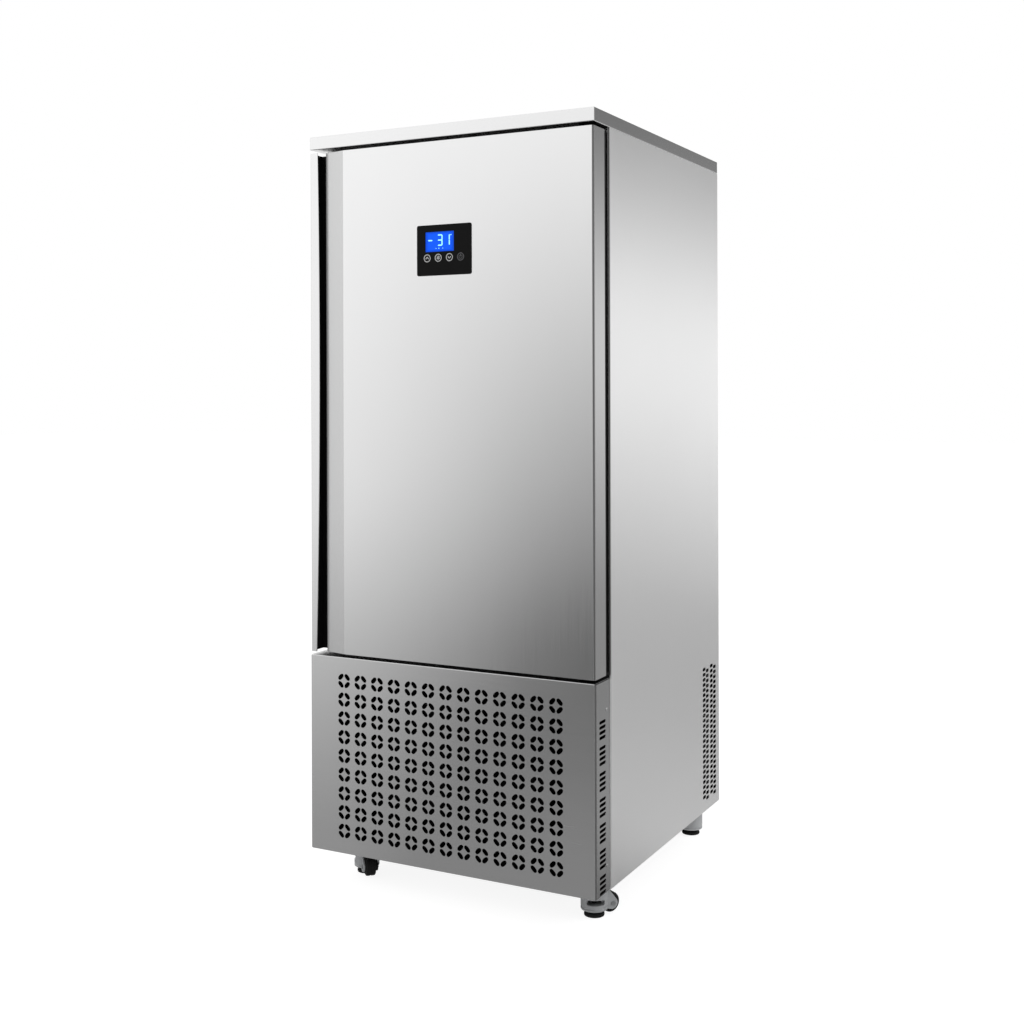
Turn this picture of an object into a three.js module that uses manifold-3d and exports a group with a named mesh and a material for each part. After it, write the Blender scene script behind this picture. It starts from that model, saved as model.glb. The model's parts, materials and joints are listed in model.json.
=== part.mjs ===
// Upright blast chiller on four levelling casters: a foamed steel cabinet with a tray chamber,
// a condensing unit behind the lower front panel, and one full-height door with a finger channel.
// Millimetres. X runs across (right is +), Y from the door front to the rear, Z up from the floor.
import * as THREE from "three";
import { mergeGeometries, mergeVertices } from "three/addons/utils/BufferGeometryUtils.js";
import Module from "manifold-3d";

const wasm = await Module();
wasm.setup();

// ---------- cabinet ----------
const width = 800;
const depth = 862; // door front to rear panel
const groundGap = 94; // floor to the bottom edge of the sheets
const lowerHeight = 498;
const gapBelowDoor = 8;
const doorHeight = 1278;
const gapAboveDoor = 9;
const slabHeight = 33; // the top panel's apron
const sheet = 1.2;
const gap = 0.3; // fit between neighbouring pieces
const doorDepth = 63;
const gasketDepth = 19;
const wall = 60; // foam beside, behind and above the chamber
const floorFoam = 86;
const foamClearance = 1; // foam round pins and the control unit
const sillDrop = 32; // the foamed body reaches this far below the top of the lower panel

const halfWidth = width / 2;
const innerHalf = halfWidth - sheet - gap;
const lowerTop = groundGap + lowerHeight;
const doorBottom = lowerTop + gapBelowDoor;
const doorTop = doorBottom + doorHeight;
const slabBottom = doorTop + gapAboveDoor;
const height = slabBottom + slabHeight;
const bodyFront = doorDepth + gasketDepth;
const foamFront = bodyFront + sheet + gap;
const innerRear = depth - sheet - gap;
const foamBottom = lowerTop - sillDrop;
const foamTop = height - sheet - gap;

// ---------- chamber ----------
const chamberHalf = innerHalf - wall;
const chamberRear = innerRear - wall;
const chamberBottom = foamBottom + floorFoam;
const chamberTop = foamTop - wall - slabHeight;

// ---------- base frame ----------
const skirt = 4; // sheets hang this far below the frame
const frameFront = 57;
const frameSheet = 2;
const frameFlange = 36;
const postLeg = 24;
const frameBottom = groundGap + skirt;
const panTop = frameBottom + frameSheet;

// ---------- casters ----------
const casterInset = 71.5;
const casterFront = 147;
const casterRearInset = 40; // swivel axis to the rear of the cabinet
const casterTurns = { front_left: -46, front_right: 58, rear_left: -120, rear_right: 180 };
const casterPlateSize = 73;
const casterPlateSheet = 4;
const kingpinRadius = 8;
const kingpinLength = 10;
const housingRadius = 33;
const housingBottom = 16;
const neckHeight = 14;
const neckRadius = 26;
const wheelRadius = 24;
const wheelWidth = 26;
const wheelLift = 2; // the feet carry the cabinet, the wheels hang clear
const wheelOffset = 42; // swivel axis to axle
const wheelChamfer = 3;
const wheelPlay = 2;
const hubRadius = 13;
const axleRadius = 4;
const axleHead = 2;
const cheekSheet = 5;
const cheekRim = 12; // cheek beyond the axle
const padRadius = 25;
const padHeight = 10;
const padTopRadius = 18;
const padEdge = 2;
const stemRadius = 6;
const stemClearance = 9; // stem to kingpin with the foot wound up
const slotHalf = 22; // the slot beside the thumbwheel
const slotInner = 8; // its inner end to the swivel axis
const slotTurn = 64; // from straight behind the wheel
const thumbRadius = 17;
const thumbBottom = 38;
const thumbHeight = 6;
const footUp = 3; // travel of the levelling screw
const footDown = 7;

// ---------- lower front panel ----------
const returnDepth = 79;
const bottomFlange = 54;
const rosettePitchX = 49.7;
const rosettePitchZ = 47.6;
const rosetteSide = 100; // least from the panel's sides to the outer columns
const rosetteBottom = 57.5; // lowest row above the panel's bottom edge
const rosetteTop = 57; // least from the highest row to the panel's top edge
const petalInner = 9.9; // distances of the petal's two edges from the rosette centre
const petalOuter = 18;
const petalInnerHalf = 8;
const petalOuterHalf = 6;
const slotsPerGroup = 4;
const slotGroupPitch = 60;
const slotPitch = 12;
const slotHeight = 7;
const slotFront = 21;
const slotRear = 54;
const slotBottom = 8; // lowest slot above the panel's bottom edge
const slotTop = 60; // least plain height above the slots
const screwSet = 61; // screws behind the panel's front
const lowerScrew = 63; // above the panel's bottom edge
const upperScrew = 70; // below its top edge
const screwRadius = 2;
const screwHeadRadius = 4;
const screwHeadHeight = 1.2;
const screwLength = 6;

// ---------- side and rear vents ----------
const ventColumns = [114, 51]; // ahead of the rear
const ventStagger = 25; // between the two ranks of a column
const ventPitch = 14.2;
const ventRows = 26;
const ventLength = 17;
const ventHeight = 8.5;
const ventBottom = 29.2; // lowest vent above the panel's bottom edge
const louvreLength = 250;
const louvreHeight = 8;
const louvrePitch = 40;
const louvreMargin = 50; // above and below the louvres
const glandHeight = 70; // above the sheets' bottom edge
const glandInset = 70; // from the left side
const glandRadius = 9;
const glandBore = 5;
const glandNutRadius = 14;
const glandNut = 6;
const glandProud = 12;
const glandInside = 14;

// ---------- door ----------
const doorSideGap = 2;
const channelWidth = 101; // door edge to the fold of the finger channel
const channelCover = 13; // foam and sheets behind the channel
const channelBack = 20; // flat back of the channel, from the door edge
const channelBend = 14; // rounded corner between the channel's side and its back
const channelRamp = 63; // the gentle slant inward from the fold
const channelRampDepth = 14;
const lipWidth = 25;
const lipBulge = 6; // how much narrower the lip is at its ends
const hingeInset = 14; // hinge axis from the cabinet side
const hingeSet = 34; // hinge axis behind the door front
const pinRadius = 4;
const pinEngagement = 20;
const hingeSheet = 3;
const hingeLeft = 36; // bracket beside the axis
const hingeRight = 10;
const hingeFront = 12;
const leafSheet = 2.4;
const leafDrop = 30;
const gasketInset = 2; // door edge to gasket
const gasketBase = 24;
const gasketFin = 1.8; // an outer flap that hides the gap behind the door
const gasketFinReach = 12.7;
const gasketHeadInset = 10; // door edge to the head, clear of the cabinet as the door turns
const gasketHead = 14;
const gasketNeck = 10;
const gasketFoot = 5;
const gasketWeb = 6;
const bossHeight = 10; // raised field of the inner panel
const bossClearance = 42; // field to gasket

// ---------- control unit ----------
const controlHeight = 1011; // centre above the door's bottom edge
const bezelWidth = 153.5;
const bezelHeight = 124;
const bezelProud = 2;
const bezelCorner = 5;
const bezelBodyInset = 6;
const bezelDepth = 28;
const lensWidth = 80;
const lensHeight = 48.5;
const lensSheet = 3;
const lensRecess = 0.3;
const lensLeft = 12; // lens centre from the bezel centre
const lensUp = 20.5;
const keyRadius = 11;
const keyPitch = 31.4;
const keyDown = 19;
const keyLength = 3.5;
const keyWell = 6;

// ---------- trays, air and refrigeration ----------
const trayPitch = 70;
const firstTray = 52; // above the chamber floor
const trayHalf = 300;
const runnerLap = 15; // how far a runner reaches under a tray
const runnerSheet = 2;
const rackSheet = 10; // the pressed side sheet's depth
const rackFront = 18; // behind the chamber mouth
const rackClearance = 50; // rack to fan panel
const rackTop = 60; // below the chamber top
const fanPanelSide = 28.5; // to the chamber wall
const fanPanelMargin = 30;
const fanPanelSheet = 1.5;
const fanSpacing = 430;
const fanRadius = 118;
const fanHub = 36;
const fanThickness = 34;
const fanBehind = 8;
const tipClearance = 8;
const bladeSheet = 2.5;
const bladeRoot = 34;
const bladeLap = 6; // blade roots inside the hub
const bladeCorner = 0.92; // radius of the blade's tip corners as a share of the fan's
const bladeSweep = 0.3; // half width of the tip as a share of the fan's radius
const shaftReach = 24;
const bladePitch = 30;
const bladeCount = 5;
const motorRadius = 42;
const motorLength = 60;
const motorBehind = 6;
const shaftRadius = 5;
const armWidth = 12;
const armSheet = 4;
const armSet = 20; // behind the motor's front
const armReach = 24;
const coilSide = 40; // coil to fan panel
const coilDepth = 84;
const coilRear = 33; // coil to chamber rear
const coilMargin = 70;
const coilBehind = 14;
const finCount = 14;
const finDepth = 8;
const endPlate = 3;
const condenserHalf = 225;
const condenserDepth = 60;
const condenserFront = 110;
const condenserHeadroom = 40;
const condenserFeet = 20;
const condenserFins = 12;
const shroudDepth = 34;
const shroudLand = 40; // fan tips to the shroud's edges
const condenserFanBehind = 20;
const compressorRadius = 84;
const compressorHeight = 230;
const compressorX = 150;
const compressorY = 590;
const compressorFeet = 14;
const compressorFlange = 8;
const compressorPlate = 14; // base plate beyond the shell
const compressorPlateShare = 0.6; // its depth as a share of its width
const compressorFootRadius = 9;
const compressorDome = 0.7; // height of the domed top as a share of the radius
const receiverRadius = 48;
const receiverHeight = 210;
const receiverEnd = 20; // domed ends
const receiverX = -120;
const receiverY = 640;
const boxWidth = 90;
const boxDepth = 200;
const boxHeight = 180;
const boxLid = 12;
const boxLidLap = 3;
const boxFront = 360;
const boxSide = 20;

const round = 12; // sides of small turned pieces
const smooth = 16; // sides of large ones
const small = 8; // sides of pins and shanks
const past = 1; // cuts and joins reach this far past a face

// ---------- finishes ----------
const finish = (color, roughness, metalness) =>
  new THREE.MeshStandardMaterial({ color, roughness, metalness });
const brushedSteel = finish(0xc9cacc, 0.34, 1);
const zincSteel = finish(0xa9adb0, 0.45, 1);
const castGrey = finish(0x9b9da0, 0.5, 0.9);
const aluminium = finish(0xb9bdc0, 0.4, 1);
const black = finish(0x0e0f11, 0.45, 0);
const rubber = finish(0x151515, 0.85, 0);
const foam = finish(0xd9c98c, 0.95, 0);
const screenBlue = finish(0x0a55ff, 0.15, 0);
const keyGrey = finish(0x23262a, 0.5, 0);
const paintBlack = finish(0x1b1c1e, 0.6, 0.2);

// ---------- solids ----------
function solid(geometry) {
  const bare = geometry.index ? geometry.toNonIndexed() : geometry.clone();
  bare.deleteAttribute("normal");
  bare.deleteAttribute("uv");
  const merged = mergeVertices(bare, 1e-4);
  const corners = [];
  for (let i = 0; i < merged.index.count; i += 3) {
    const [a, b, c] = [0, 1, 2].map((k) => merged.index.getX(i + k));
    if (a !== b && b !== c && c !== a) corners.push(a, b, c);
  }
  return new wasm.Manifold(
    new wasm.Mesh({
      numProp: 3,
      vertProperties: merged.attributes.position.array,
      triVerts: new Uint32Array(corners),
    }),
  );
}

const join = (first, ...others) => others.reduce((a, b) => a.add(b), first);
const cut = (base, ...tools) => tools.reduce((a, b) => a.subtract(b), base);

// Moves each vertex by a rule, such as a change of axes.
function remap(geometry, rule) {
  const position = geometry.attributes.position;
  for (let i = 0; i < position.count; i += 1) {
    position.setXYZ(i, ...rule(position.getX(i), position.getY(i), position.getZ(i)));
  }
  return geometry;
}

// A box from its low and high value on each axis.
function box([x0, x1], [y0, y1], [z0, z1]) {
  const pick = (x, y, z) => [x < 0 ? x0 : x1, y < 0 ? y0 : y1, z < 0 ? z0 : z1];
  return solid(remap(new THREE.BoxGeometry(1, 1, 1), pick));
}

// A flat outline pushed along an axis. Its points are (x, y) along z, (x, z) along y and (y, z) along x.
function prismGeometry(outline, axis, low, high) {
  const shape = new THREE.Shape(outline.map(([a, b]) => new THREE.Vector2(a, b)));
  const geometry = new THREE.ExtrudeGeometry(shape, { depth: high - low, bevelEnabled: false });
  const rules = {
    x: (a, b, c) => [low + c, a, b],
    y: (a, b, c) => [a, high - c, b],
    z: (a, b, c) => [a, b, low + c],
  };
  return remap(geometry, rules[axis]);
}
const prism = (...args) => solid(prismGeometry(...args));

function ring(radius, sides, [a, b] = [0, 0]) {
  return Array.from({ length: sides }, (_, k) => {
    const turn = (2 * Math.PI * (k + 0.5)) / sides;
    return [a + radius * Math.cos(turn), b + radius * Math.sin(turn)];
  });
}
const rod = (radius, axis, low, high, centre, sides = round) =>
  prism(ring(radius, sides, centre), axis, low, high);

// A profile of [radius, height] points turned about an axis.
function turned(profile, axis = "z", sides = round) {
  const lathe = new THREE.LatheGeometry(profile.map(([r, h]) => new THREE.Vector2(r, h)), sides);
  const rules = { x: (x, y, z) => [y, z, x], y: (x, y, z) => [x, y, z], z: (x, y, z) => [z, x, y] };
  return solid(remap(lathe, rules[axis]));
}

const rectangle = ([a0, a1], [b0, b1]) => [[a0, b0], [a1, b0], [a1, b1], [a0, b1]];

function roundedRectangle(w, h, r) {
  const shape = new THREE.Shape();
  const corners = [[w / 2 - r, r - h / 2, -90], [w / 2 - r, h / 2 - r, 0], [r - w / 2, h / 2 - r, 90]];
  corners.push([r - w / 2, r - h / 2, 180]);
  for (const [x, y, start] of corners) {
    const from = (start * Math.PI) / 180;
    shape.absarc(x, y, r, from, from + Math.PI / 2, false);
  }
  return shape.extractPoints(3).shape.map((p) => [p.x, p.y]);
}

const mirrored = (body) => body.scale([-1, 1, 1]);
const moved = (body, x, y, z) => body.translate([x, y, z]);

const cabinet = new THREE.Group();
cabinet.position.y = -(depth + glandProud - bezelProud) / 2;

function piece(name, body, material, parent = cabinet) {
  const { vertProperties, triVerts } = body.getMesh();
  const geometry = new THREE.BufferGeometry()
    .setAttribute("position", new THREE.BufferAttribute(Float32Array.from(vertProperties), 3))
    .setIndex(new THREE.BufferAttribute(Uint32Array.from(triVerts), 1))
    .toNonIndexed();
  geometry.computeVertexNormals();
  const mesh = new THREE.Mesh(geometry, material);
  mesh.name = name;
  parent.add(mesh);
}

// ---------- cabinet shell ----------
const screwHeights = [groundGap + lowerScrew, lowerTop - upperScrew];
const screwHole = (low, high, z) => rod(screwRadius + gap, "x", low, high, [screwSet, z], small);

function baseFrame() {
  const outer = [-innerHalf, innerHalf];
  const tray = cut(
    box(outer, [frameFront, innerRear], [frameBottom, frameBottom + frameFlange]),
    box(
      [-innerHalf + frameSheet, innerHalf - frameSheet],
      [frameFront + frameSheet, innerRear - frameSheet],
      [panTop, frameBottom + frameFlange + past],
    ),
  );
  const tall = [frameBottom, foamBottom - gap];
  const right = (leg) => [innerHalf - leg, innerHalf];
  const frontPost = join(
    box(right(frameSheet), [frameFront, foamFront + postLeg], tall),
    box(right(postLeg), [foamFront, foamFront + frameSheet], tall),
  );
  const rearPost = join(
    box(right(frameSheet), [innerRear - postLeg, innerRear], tall),
    box(right(postLeg), [innerRear - frameSheet, innerRear], tall),
  );
  const frame = join(tray, frontPost, rearPost, mirrored(frontPost), mirrored(rearPost));
  return cut(frame, ...screwHeights.map((z) => screwHole(-halfWidth, halfWidth, z)));
}

// Two ranks of slots in each column, the second rank half a pitch lower.
function sideVents() {
  const slots = [];
  for (const column of ventColumns) {
    for (let row = 0; row < ventRows; row += 1) {
      for (const rank of [0, 1]) {
        const y = depth - column + (rank - 0.5) * ventStagger;
        const z = groundGap + ventBottom + (row + (1 - rank) / 2) * ventPitch;
        const outline = rectangle([y - ventLength / 2, y + ventLength / 2], [z, z + ventHeight]);
        slots.push(prismGeometry(outline, "x", innerHalf, halfWidth + past));
      }
    }
  }
  return solid(mergeGeometries(slots));
}

function sidePanel() {
  const panel = box([halfWidth - sheet, halfWidth], [bodyFront, depth], [groundGap, slabBottom - gap]);
  return cut(panel, sideVents());
}

// The left side has no vents: the condenser draws from the front and blows out to the right and rear.
const plainSidePanel = () =>
  box([-halfWidth, sheet - halfWidth], [bodyFront, depth], [groundGap, slabBottom - gap]);

const rearPanel = () =>
  box([-innerHalf, innerHalf], [depth - sheet, depth], [foamBottom, slabBottom - gap]);

const glandX = glandInset - halfWidth;

function rearGrille() {
  const panel = box([-innerHalf, innerHalf], [depth - sheet, depth], [groundGap, foamBottom - gap]);
  const louvres = [];
  const rows = Math.floor((foamBottom - groundGap - 2 * louvreMargin) / louvrePitch);
  const through = [depth - sheet - past, depth + past];
  for (let row = 0; row < rows; row += 1) {
    const z = groundGap + louvreMargin + row * louvrePitch;
    for (const side of [-1, 1]) {
      const x = (side * (louvreLength + louvrePitch)) / 2;
      const span = [x - louvreLength / 2, x + louvreLength / 2];
      louvres.push(prismGeometry(rectangle(span, [z, z + louvreHeight]), "y", ...through));
    }
  }
  const hole = rod(glandRadius + gap, "y", ...through, [glandX, groundGap + glandHeight]);
  return cut(panel, solid(mergeGeometries(louvres)), hole);
}

function topPanel() {
  const pan = box([-halfWidth, halfWidth], [0, depth], [slabBottom, height]);
  const inside = [-halfWidth + sheet, halfWidth - sheet];
  const hollow = box(inside, [sheet, depth - sheet], [slabBottom + sheet, height - sheet]);
  const mouth = box(inside, [foamFront - gap, depth - sheet], [slabBottom - past, height - sheet]);
  return cut(pan, hollow, mouth);
}

function insulation() {
  const block = box([-innerHalf, innerHalf], [foamFront, innerRear], [foamBottom, foamTop]);
  const half = chamberHalf + sheet + gap;
  const low = chamberBottom - sheet - gap;
  const high = chamberTop + sheet + gap;
  return cut(block, box([-half, half], [0, chamberRear + sheet + gap], [low, high]));
}

function innerLiner() {
  const half = chamberHalf + sheet;
  const rise = [chamberBottom - sheet, chamberTop + sheet];
  const shell = box([-half, half], [bodyFront, chamberRear + sheet], rise);
  const flangeRise = [foamBottom, slabBottom - gap];
  const flange = box([-innerHalf, innerHalf], [bodyFront, bodyFront + sheet], flangeRise);
  const room = box([-chamberHalf, chamberHalf], [0, chamberRear], [chamberBottom, chamberTop]);
  return cut(join(flange, shell), room);
}

// ---------- lower front panel ----------
// A rosette is four petals, one on each diagonal.
function rosette(x, z) {
  const outline = [
    [petalInner, -petalInnerHalf],
    [petalOuter, -petalOuterHalf],
    [petalOuter, petalOuterHalf],
    [petalInner, petalInnerHalf],
  ];
  return [45, 135, 225, 315].map((degrees) => {
    const turn = (degrees * Math.PI) / 180;
    const [c, s] = [Math.cos(turn), Math.sin(turn)];
    const placed = outline.map(([a, b]) => [x + a * c - b * s, z + a * s + b * c]);
    return prismGeometry(placed, "y", -past, sheet + past);
  });
}

function grilleHoles() {
  const petals = [];
  const columns = 1 + Math.floor((width - 2 * rosetteSide) / rosettePitchX);
  const rows = 1 + Math.floor((lowerHeight - rosetteBottom - rosetteTop) / rosettePitchZ);
  for (let column = 0; column < columns; column += 1) {
    for (let row = 0; row < rows; row += 1) {
      const x = (column - (columns - 1) / 2) * rosettePitchX;
      petals.push(...rosette(x, groundGap + rosetteBottom + row * rosettePitchZ));
    }
  }
  return solid(mergeGeometries(petals));
}

function returnSlots() {
  const slots = [];
  const groups = Math.floor((lowerHeight - slotBottom - slotTop) / slotGroupPitch);
  for (let group = 0; group < groups; group += 1) {
    for (let slot = 0; slot < slotsPerGroup; slot += 1) {
      const z = groundGap + slotBottom + group * slotGroupPitch + slot * slotPitch;
      const outline = rectangle([slotFront, slotRear], [z - slotHeight / 2, z + slotHeight / 2]);
      slots.push(prismGeometry(outline, "x", innerHalf, halfWidth + past));
    }
  }
  return solid(mergeGeometries(slots));
}

function lowerFrontPanel() {
  const inside = [-halfWidth + sheet, halfWidth - sheet];
  const folded = cut(
    box([-halfWidth, halfWidth], [0, returnDepth], [groundGap, lowerTop]),
    box(inside, [sheet, returnDepth + past], [groundGap + sheet, lowerTop - sheet]),
    box(inside, [bottomFlange, returnDepth + past], [groundGap - past, lowerTop - sheet]),
  );
  const slots = returnSlots();
  const holes = screwHeights.map((z) => screwHole(-halfWidth - past, halfWidth + past, z));
  return cut(folded, grilleHoles(), slots, mirrored(slots), ...holes);
}

// A pan-head screw through the return into the corner post.
function panelScrew(z) {
  const head = rod(screwHeadRadius, "x", halfWidth, halfWidth + screwHeadHeight, [screwSet, z]);
  const tip = halfWidth - screwLength;
  return join(head, rod(screwRadius, "x", tip, halfWidth + screwHeadHeight / 2, [screwSet, z], small));
}

// ---------- casters, built round the swivel axis with the wheel towards +X ----------
const casterPlateBottom = frameBottom - casterPlateSheet;
const axleHeight = wheelRadius + wheelLift;
const cheekInner = wheelWidth / 2 + wheelPlay;
const cheekOuter = cheekInner + cheekSheet;
const housingShoulder = casterPlateBottom - neckHeight;
const stemTop = casterPlateBottom - kingpinLength - footUp - stemClearance;

function casterPlate() {
  const half = casterPlateSize / 2;
  const plate = box([-half, half], [-half, half], [casterPlateBottom, frameBottom]);
  return join(plate, rod(kingpinRadius, "z", casterPlateBottom - kingpinLength, frameBottom - past));
}

function casterBody() {
  const top = casterPlateBottom - gap;
  const housing = join(
    rod(housingRadius, "z", housingBottom, housingShoulder, [0, 0], smooth),
    rod(neckRadius, "z", housingShoulder - past, top),
  );
  const cheek = [
    [0, housingBottom],
    [wheelOffset - cheekRim / 2, axleHeight - cheekRim],
    [wheelOffset + cheekRim / 2, axleHeight - cheekRim],
    [wheelOffset + cheekRim, axleHeight],
    [wheelOffset + cheekRim, axleHeight + cheekRim / 2],
    [housingRadius, housingShoulder - cheekRim],
    [housingRadius - cheekSheet, housingShoulder],
    [0, housingShoulder],
  ];
  const arm = prism(cheek, "y", -cheekOuter, -cheekInner);
  const wellRadius = wheelRadius + wheelPlay;
  const wellSpan = [-cheekInner, cheekOuter + wheelPlay];
  const well = join(
    rod(wellRadius, "y", ...wellSpan, [wheelOffset, axleHeight]),
    box([wheelOffset, wheelOffset + wellRadius], wellSpan, [0, axleHeight + wellRadius]),
    box([wheelOffset - wellRadius, wheelOffset], wellSpan, [0, axleHeight]),
  );
  const slotLow = thumbBottom - footDown - past;
  const slotHigh = thumbBottom + thumbHeight + footUp + past;
  const mouth = box([-housingRadius - past, -slotInner], [-slotHalf, slotHalf], [slotLow, slotHigh]);
  const slot = join(
    mouth.rotate([0, 0, slotTurn]),
    rod(thumbRadius + past, "z", slotLow, slotHigh),
  );
  const stemBore = rod(stemRadius + gap, "z", 0, stemTop + footUp + past);
  const pinBore = rod(kingpinRadius + gap, "z", casterPlateBottom - kingpinLength - gap, top + past);
  const across = [-cheekOuter - past, cheekOuter + past];
  const axleBore = rod(axleRadius + gap, "y", ...across, [wheelOffset, axleHeight], small);
  return cut(join(housing, arm), well, slot, stemBore, pinBore, axleBore);
}

function casterAxle() {
  const end = cheekOuter + gap;
  const centre = [wheelOffset, axleHeight];
  const headRadius = axleRadius + axleHead;
  const heads = [-end - axleHead, end].map((y) => rod(headRadius, "y", y, y + axleHead, centre, small));
  return join(rod(axleRadius, "y", -end - past, end + past, centre, small), ...heads);
}

function casterWheel() {
  const half = wheelWidth / 2;
  const bore = axleRadius + gap;
  const profile = [
    [bore, -half],
    [wheelRadius - wheelChamfer, -half],
    [wheelRadius, wheelChamfer - half],
    [wheelRadius, half - wheelChamfer],
    [wheelRadius - wheelChamfer, half],
    [hubRadius, half],
    [hubRadius, cheekOuter],
    [bore, cheekOuter],
    [bore, -half],
  ];
  return moved(turned(profile, "y", smooth), wheelOffset, 0, axleHeight);
}

function casterFoot() {
  return turned([
    [0, 0],
    [padRadius - padEdge, 0],
    [padRadius, padEdge],
    [padRadius, padHeight / 2],
    [padTopRadius, padHeight],
    [stemRadius, padHeight],
    [stemRadius, thumbBottom],
    [thumbRadius, thumbBottom],
    [thumbRadius, thumbBottom + thumbHeight],
    [stemRadius, thumbBottom + thumbHeight],
    [stemRadius, stemTop],
    [0, stemTop],
  ]);
}

function casters() {
  for (const [place, degrees] of Object.entries(casterTurns)) {
    const x = (place.endsWith("left") ? -1 : 1) * (halfWidth - casterInset);
    const y = place.startsWith("front") ? casterFront : depth - casterRearInset;
    const fixed = new THREE.Group();
    fixed.position.set(x, y, 0);
    piece(`caster_plate_${place}`, casterPlate(), zincSteel, fixed);
    const swivel = new THREE.Group();
    swivel.rotation.z = (degrees * Math.PI) / 180;
    piece(`caster_body_${place}`, casterBody(), castGrey, swivel);
    piece(`caster_axle_${place}`, casterAxle(), zincSteel, swivel);
    piece(`caster_wheel_${place}`, casterWheel(), rubber, swivel);
    piece(`caster_foot_${place}`, casterFoot(), rubber, swivel);
    fixed.add(swivel);
    cabinet.add(fixed);
  }
}

// ---------- door ----------
const doorHalf = halfWidth - doorSideGap;
const hingeX = halfWidth - hingeInset;
const leftFace = -doorHalf;
const foldX = leftFace + channelWidth;
const backX = leftFace + channelBack;
const channelDepth = doorDepth - channelCover;
const bendStep = channelBend / 8; // how far the bend's middle stands off its corner

// From the front fold the channel slants gently inward, then steeply to a bend before its flat back.
const bendX = backX + channelBend;
const bendY = channelDepth - channelBend / 2;
const rampX = foldX - channelRamp;
const mouthRight = foldX - (sheet * channelRamp) / channelRampDepth;

// The finger channel behind the lip, open at the top and bottom of the door.
function channelHollow() {
  const section = [
    [leftFace + sheet, sheet],
    [mouthRight, sheet],
    [rampX, channelRampDepth],
    [bendX, bendY],
    [backX + channelBend / 2, channelDepth - bendStep],
    [backX, channelDepth],
    [leftFace + sheet, channelDepth],
  ];
  return prism(section, "z", doorBottom - past, doorTop + past);
}

// The lip is widest at mid height: its inner edge is a shallow arc.
function channelMouth() {
  const steps = 8;
  const edge = Array.from({ length: steps + 1 }, (_, k) => {
    const t = k / steps;
    const x = leftFace + lipWidth - lipBulge * (2 * t - 1) ** 2;
    return [x, doorBottom - past + t * (doorHeight + 2 * past)];
  });
  const outline = [[mouthRight, doorBottom - past], [mouthRight, doorTop + past], ...edge.reverse()];
  return prism(outline, "y", -past, sheet + sheet / 2);
}

// The room inside the skin that the foam fills, smaller by a margin all round.
function doorRoom(margin, rear) {
  const m = sheet + margin;
  const section = [
    [leftFace + m, channelDepth + m],
    [backX + m / 4, channelDepth + m],
    [backX + channelBend / 2 + m / 2, channelDepth - bendStep + m],
    [bendX + m, bendY + m],
    [rampX + m, channelRampDepth + m],
    [foldX + m, m],
    [doorHalf - m, m],
    [doorHalf - m, rear],
    [leftFace + m, rear],
  ];
  return prism(section, "z", doorBottom + m, doorTop - m);
}

const controlZ = doorBottom + controlHeight;
const bodyHalf = bezelWidth / 2 - bezelBodyInset;
const bodyRise = bezelHeight / 2 - bezelBodyInset;

function controlPocket(margin, rear) {
  const half = bodyHalf + margin;
  const rise = bodyRise + margin;
  return box([-half, half], [-past, rear], [controlZ - rise, controlZ + rise]);
}

// Holes for the hinge pins in the top and bottom of the door.
function pinHoles(margin) {
  const at = [hingeX, hingeSet];
  const reach = pinEngagement + margin;
  return [
    rod(pinRadius + margin, "z", doorBottom - past, doorBottom + reach, at),
    rod(pinRadius + margin, "z", doorTop - reach, doorTop + past, at),
  ];
}

function doorSkin() {
  const block = box([-doorHalf, doorHalf], [0, doorDepth], [doorBottom, doorTop]);
  return cut(
    block,
    doorRoom(0, doorDepth + past),
    channelHollow(),
    channelMouth(),
    controlPocket(gap, sheet + past),
    ...pinHoles(gap),
  );
}

function doorInsulation() {
  const block = doorRoom(gap, doorDepth - sheet - gap);
  return cut(block, controlPocket(foamClearance, bezelDepth + foamClearance), ...pinHoles(foamClearance));
}

function doorInnerPanel() {
  const inset = gasketInset + gasketBase + bossClearance;
  const field = (margin, low, high) => {
    const half = doorHalf - inset - margin;
    return box([-half, half], [low, high], [doorBottom + inset + margin, doorTop - inset - margin]);
  };
  const edge = doorHalf - sheet - gap;
  const rise = [doorBottom + sheet + gap, doorTop - sheet - gap];
  const front = doorDepth - sheet;
  const panel = join(
    box([-edge, edge], [front, doorDepth], rise),
    field(0, front, doorDepth + bossHeight),
  );
  return cut(panel, field(sheet, front - past, doorDepth + bossHeight - sheet));
}

// A frame of the gasket's section, at an inset from the door's edges.
function gasketFrame(inset, sectionWidth, low, high) {
  const frame = (edge, y0, y1) =>
    box([edge - doorHalf, doorHalf - edge], [y0, y1], [doorBottom + edge, doorTop - edge]);
  return cut(frame(inset, low, high), frame(inset + sectionWidth, low - past, high + past));
}

function doorGasket() {
  const seat = doorDepth + gap;
  const neck = seat + gasketFoot;
  const head = neck + gasketWeb;
  const neckInset = gasketHeadInset + (gasketHead - gasketNeck) / 2;
  return join(
    gasketFrame(gasketInset, gasketBase, seat, neck),
    gasketFrame(gasketInset, gasketFin, neck - past, seat + gasketFinReach),
    gasketFrame(neckInset, gasketNeck, neck - past, head + past),
    gasketFrame(gasketHeadInset, gasketHead, head, bodyFront - gap),
  );
}

const hingeSpan = [hingeX - hingeLeft, hingeX + hingeRight];
const hingeReach = [hingeSet - hingeFront, bodyFront - gap];

function upperHinge() {
  const high = slabBottom - gap;
  const plate = box(hingeSpan, hingeReach, [high - hingeSheet, high]);
  return join(plate, rod(pinRadius, "z", doorTop - pinEngagement, high - past, [hingeX, hingeSet]));
}

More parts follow.
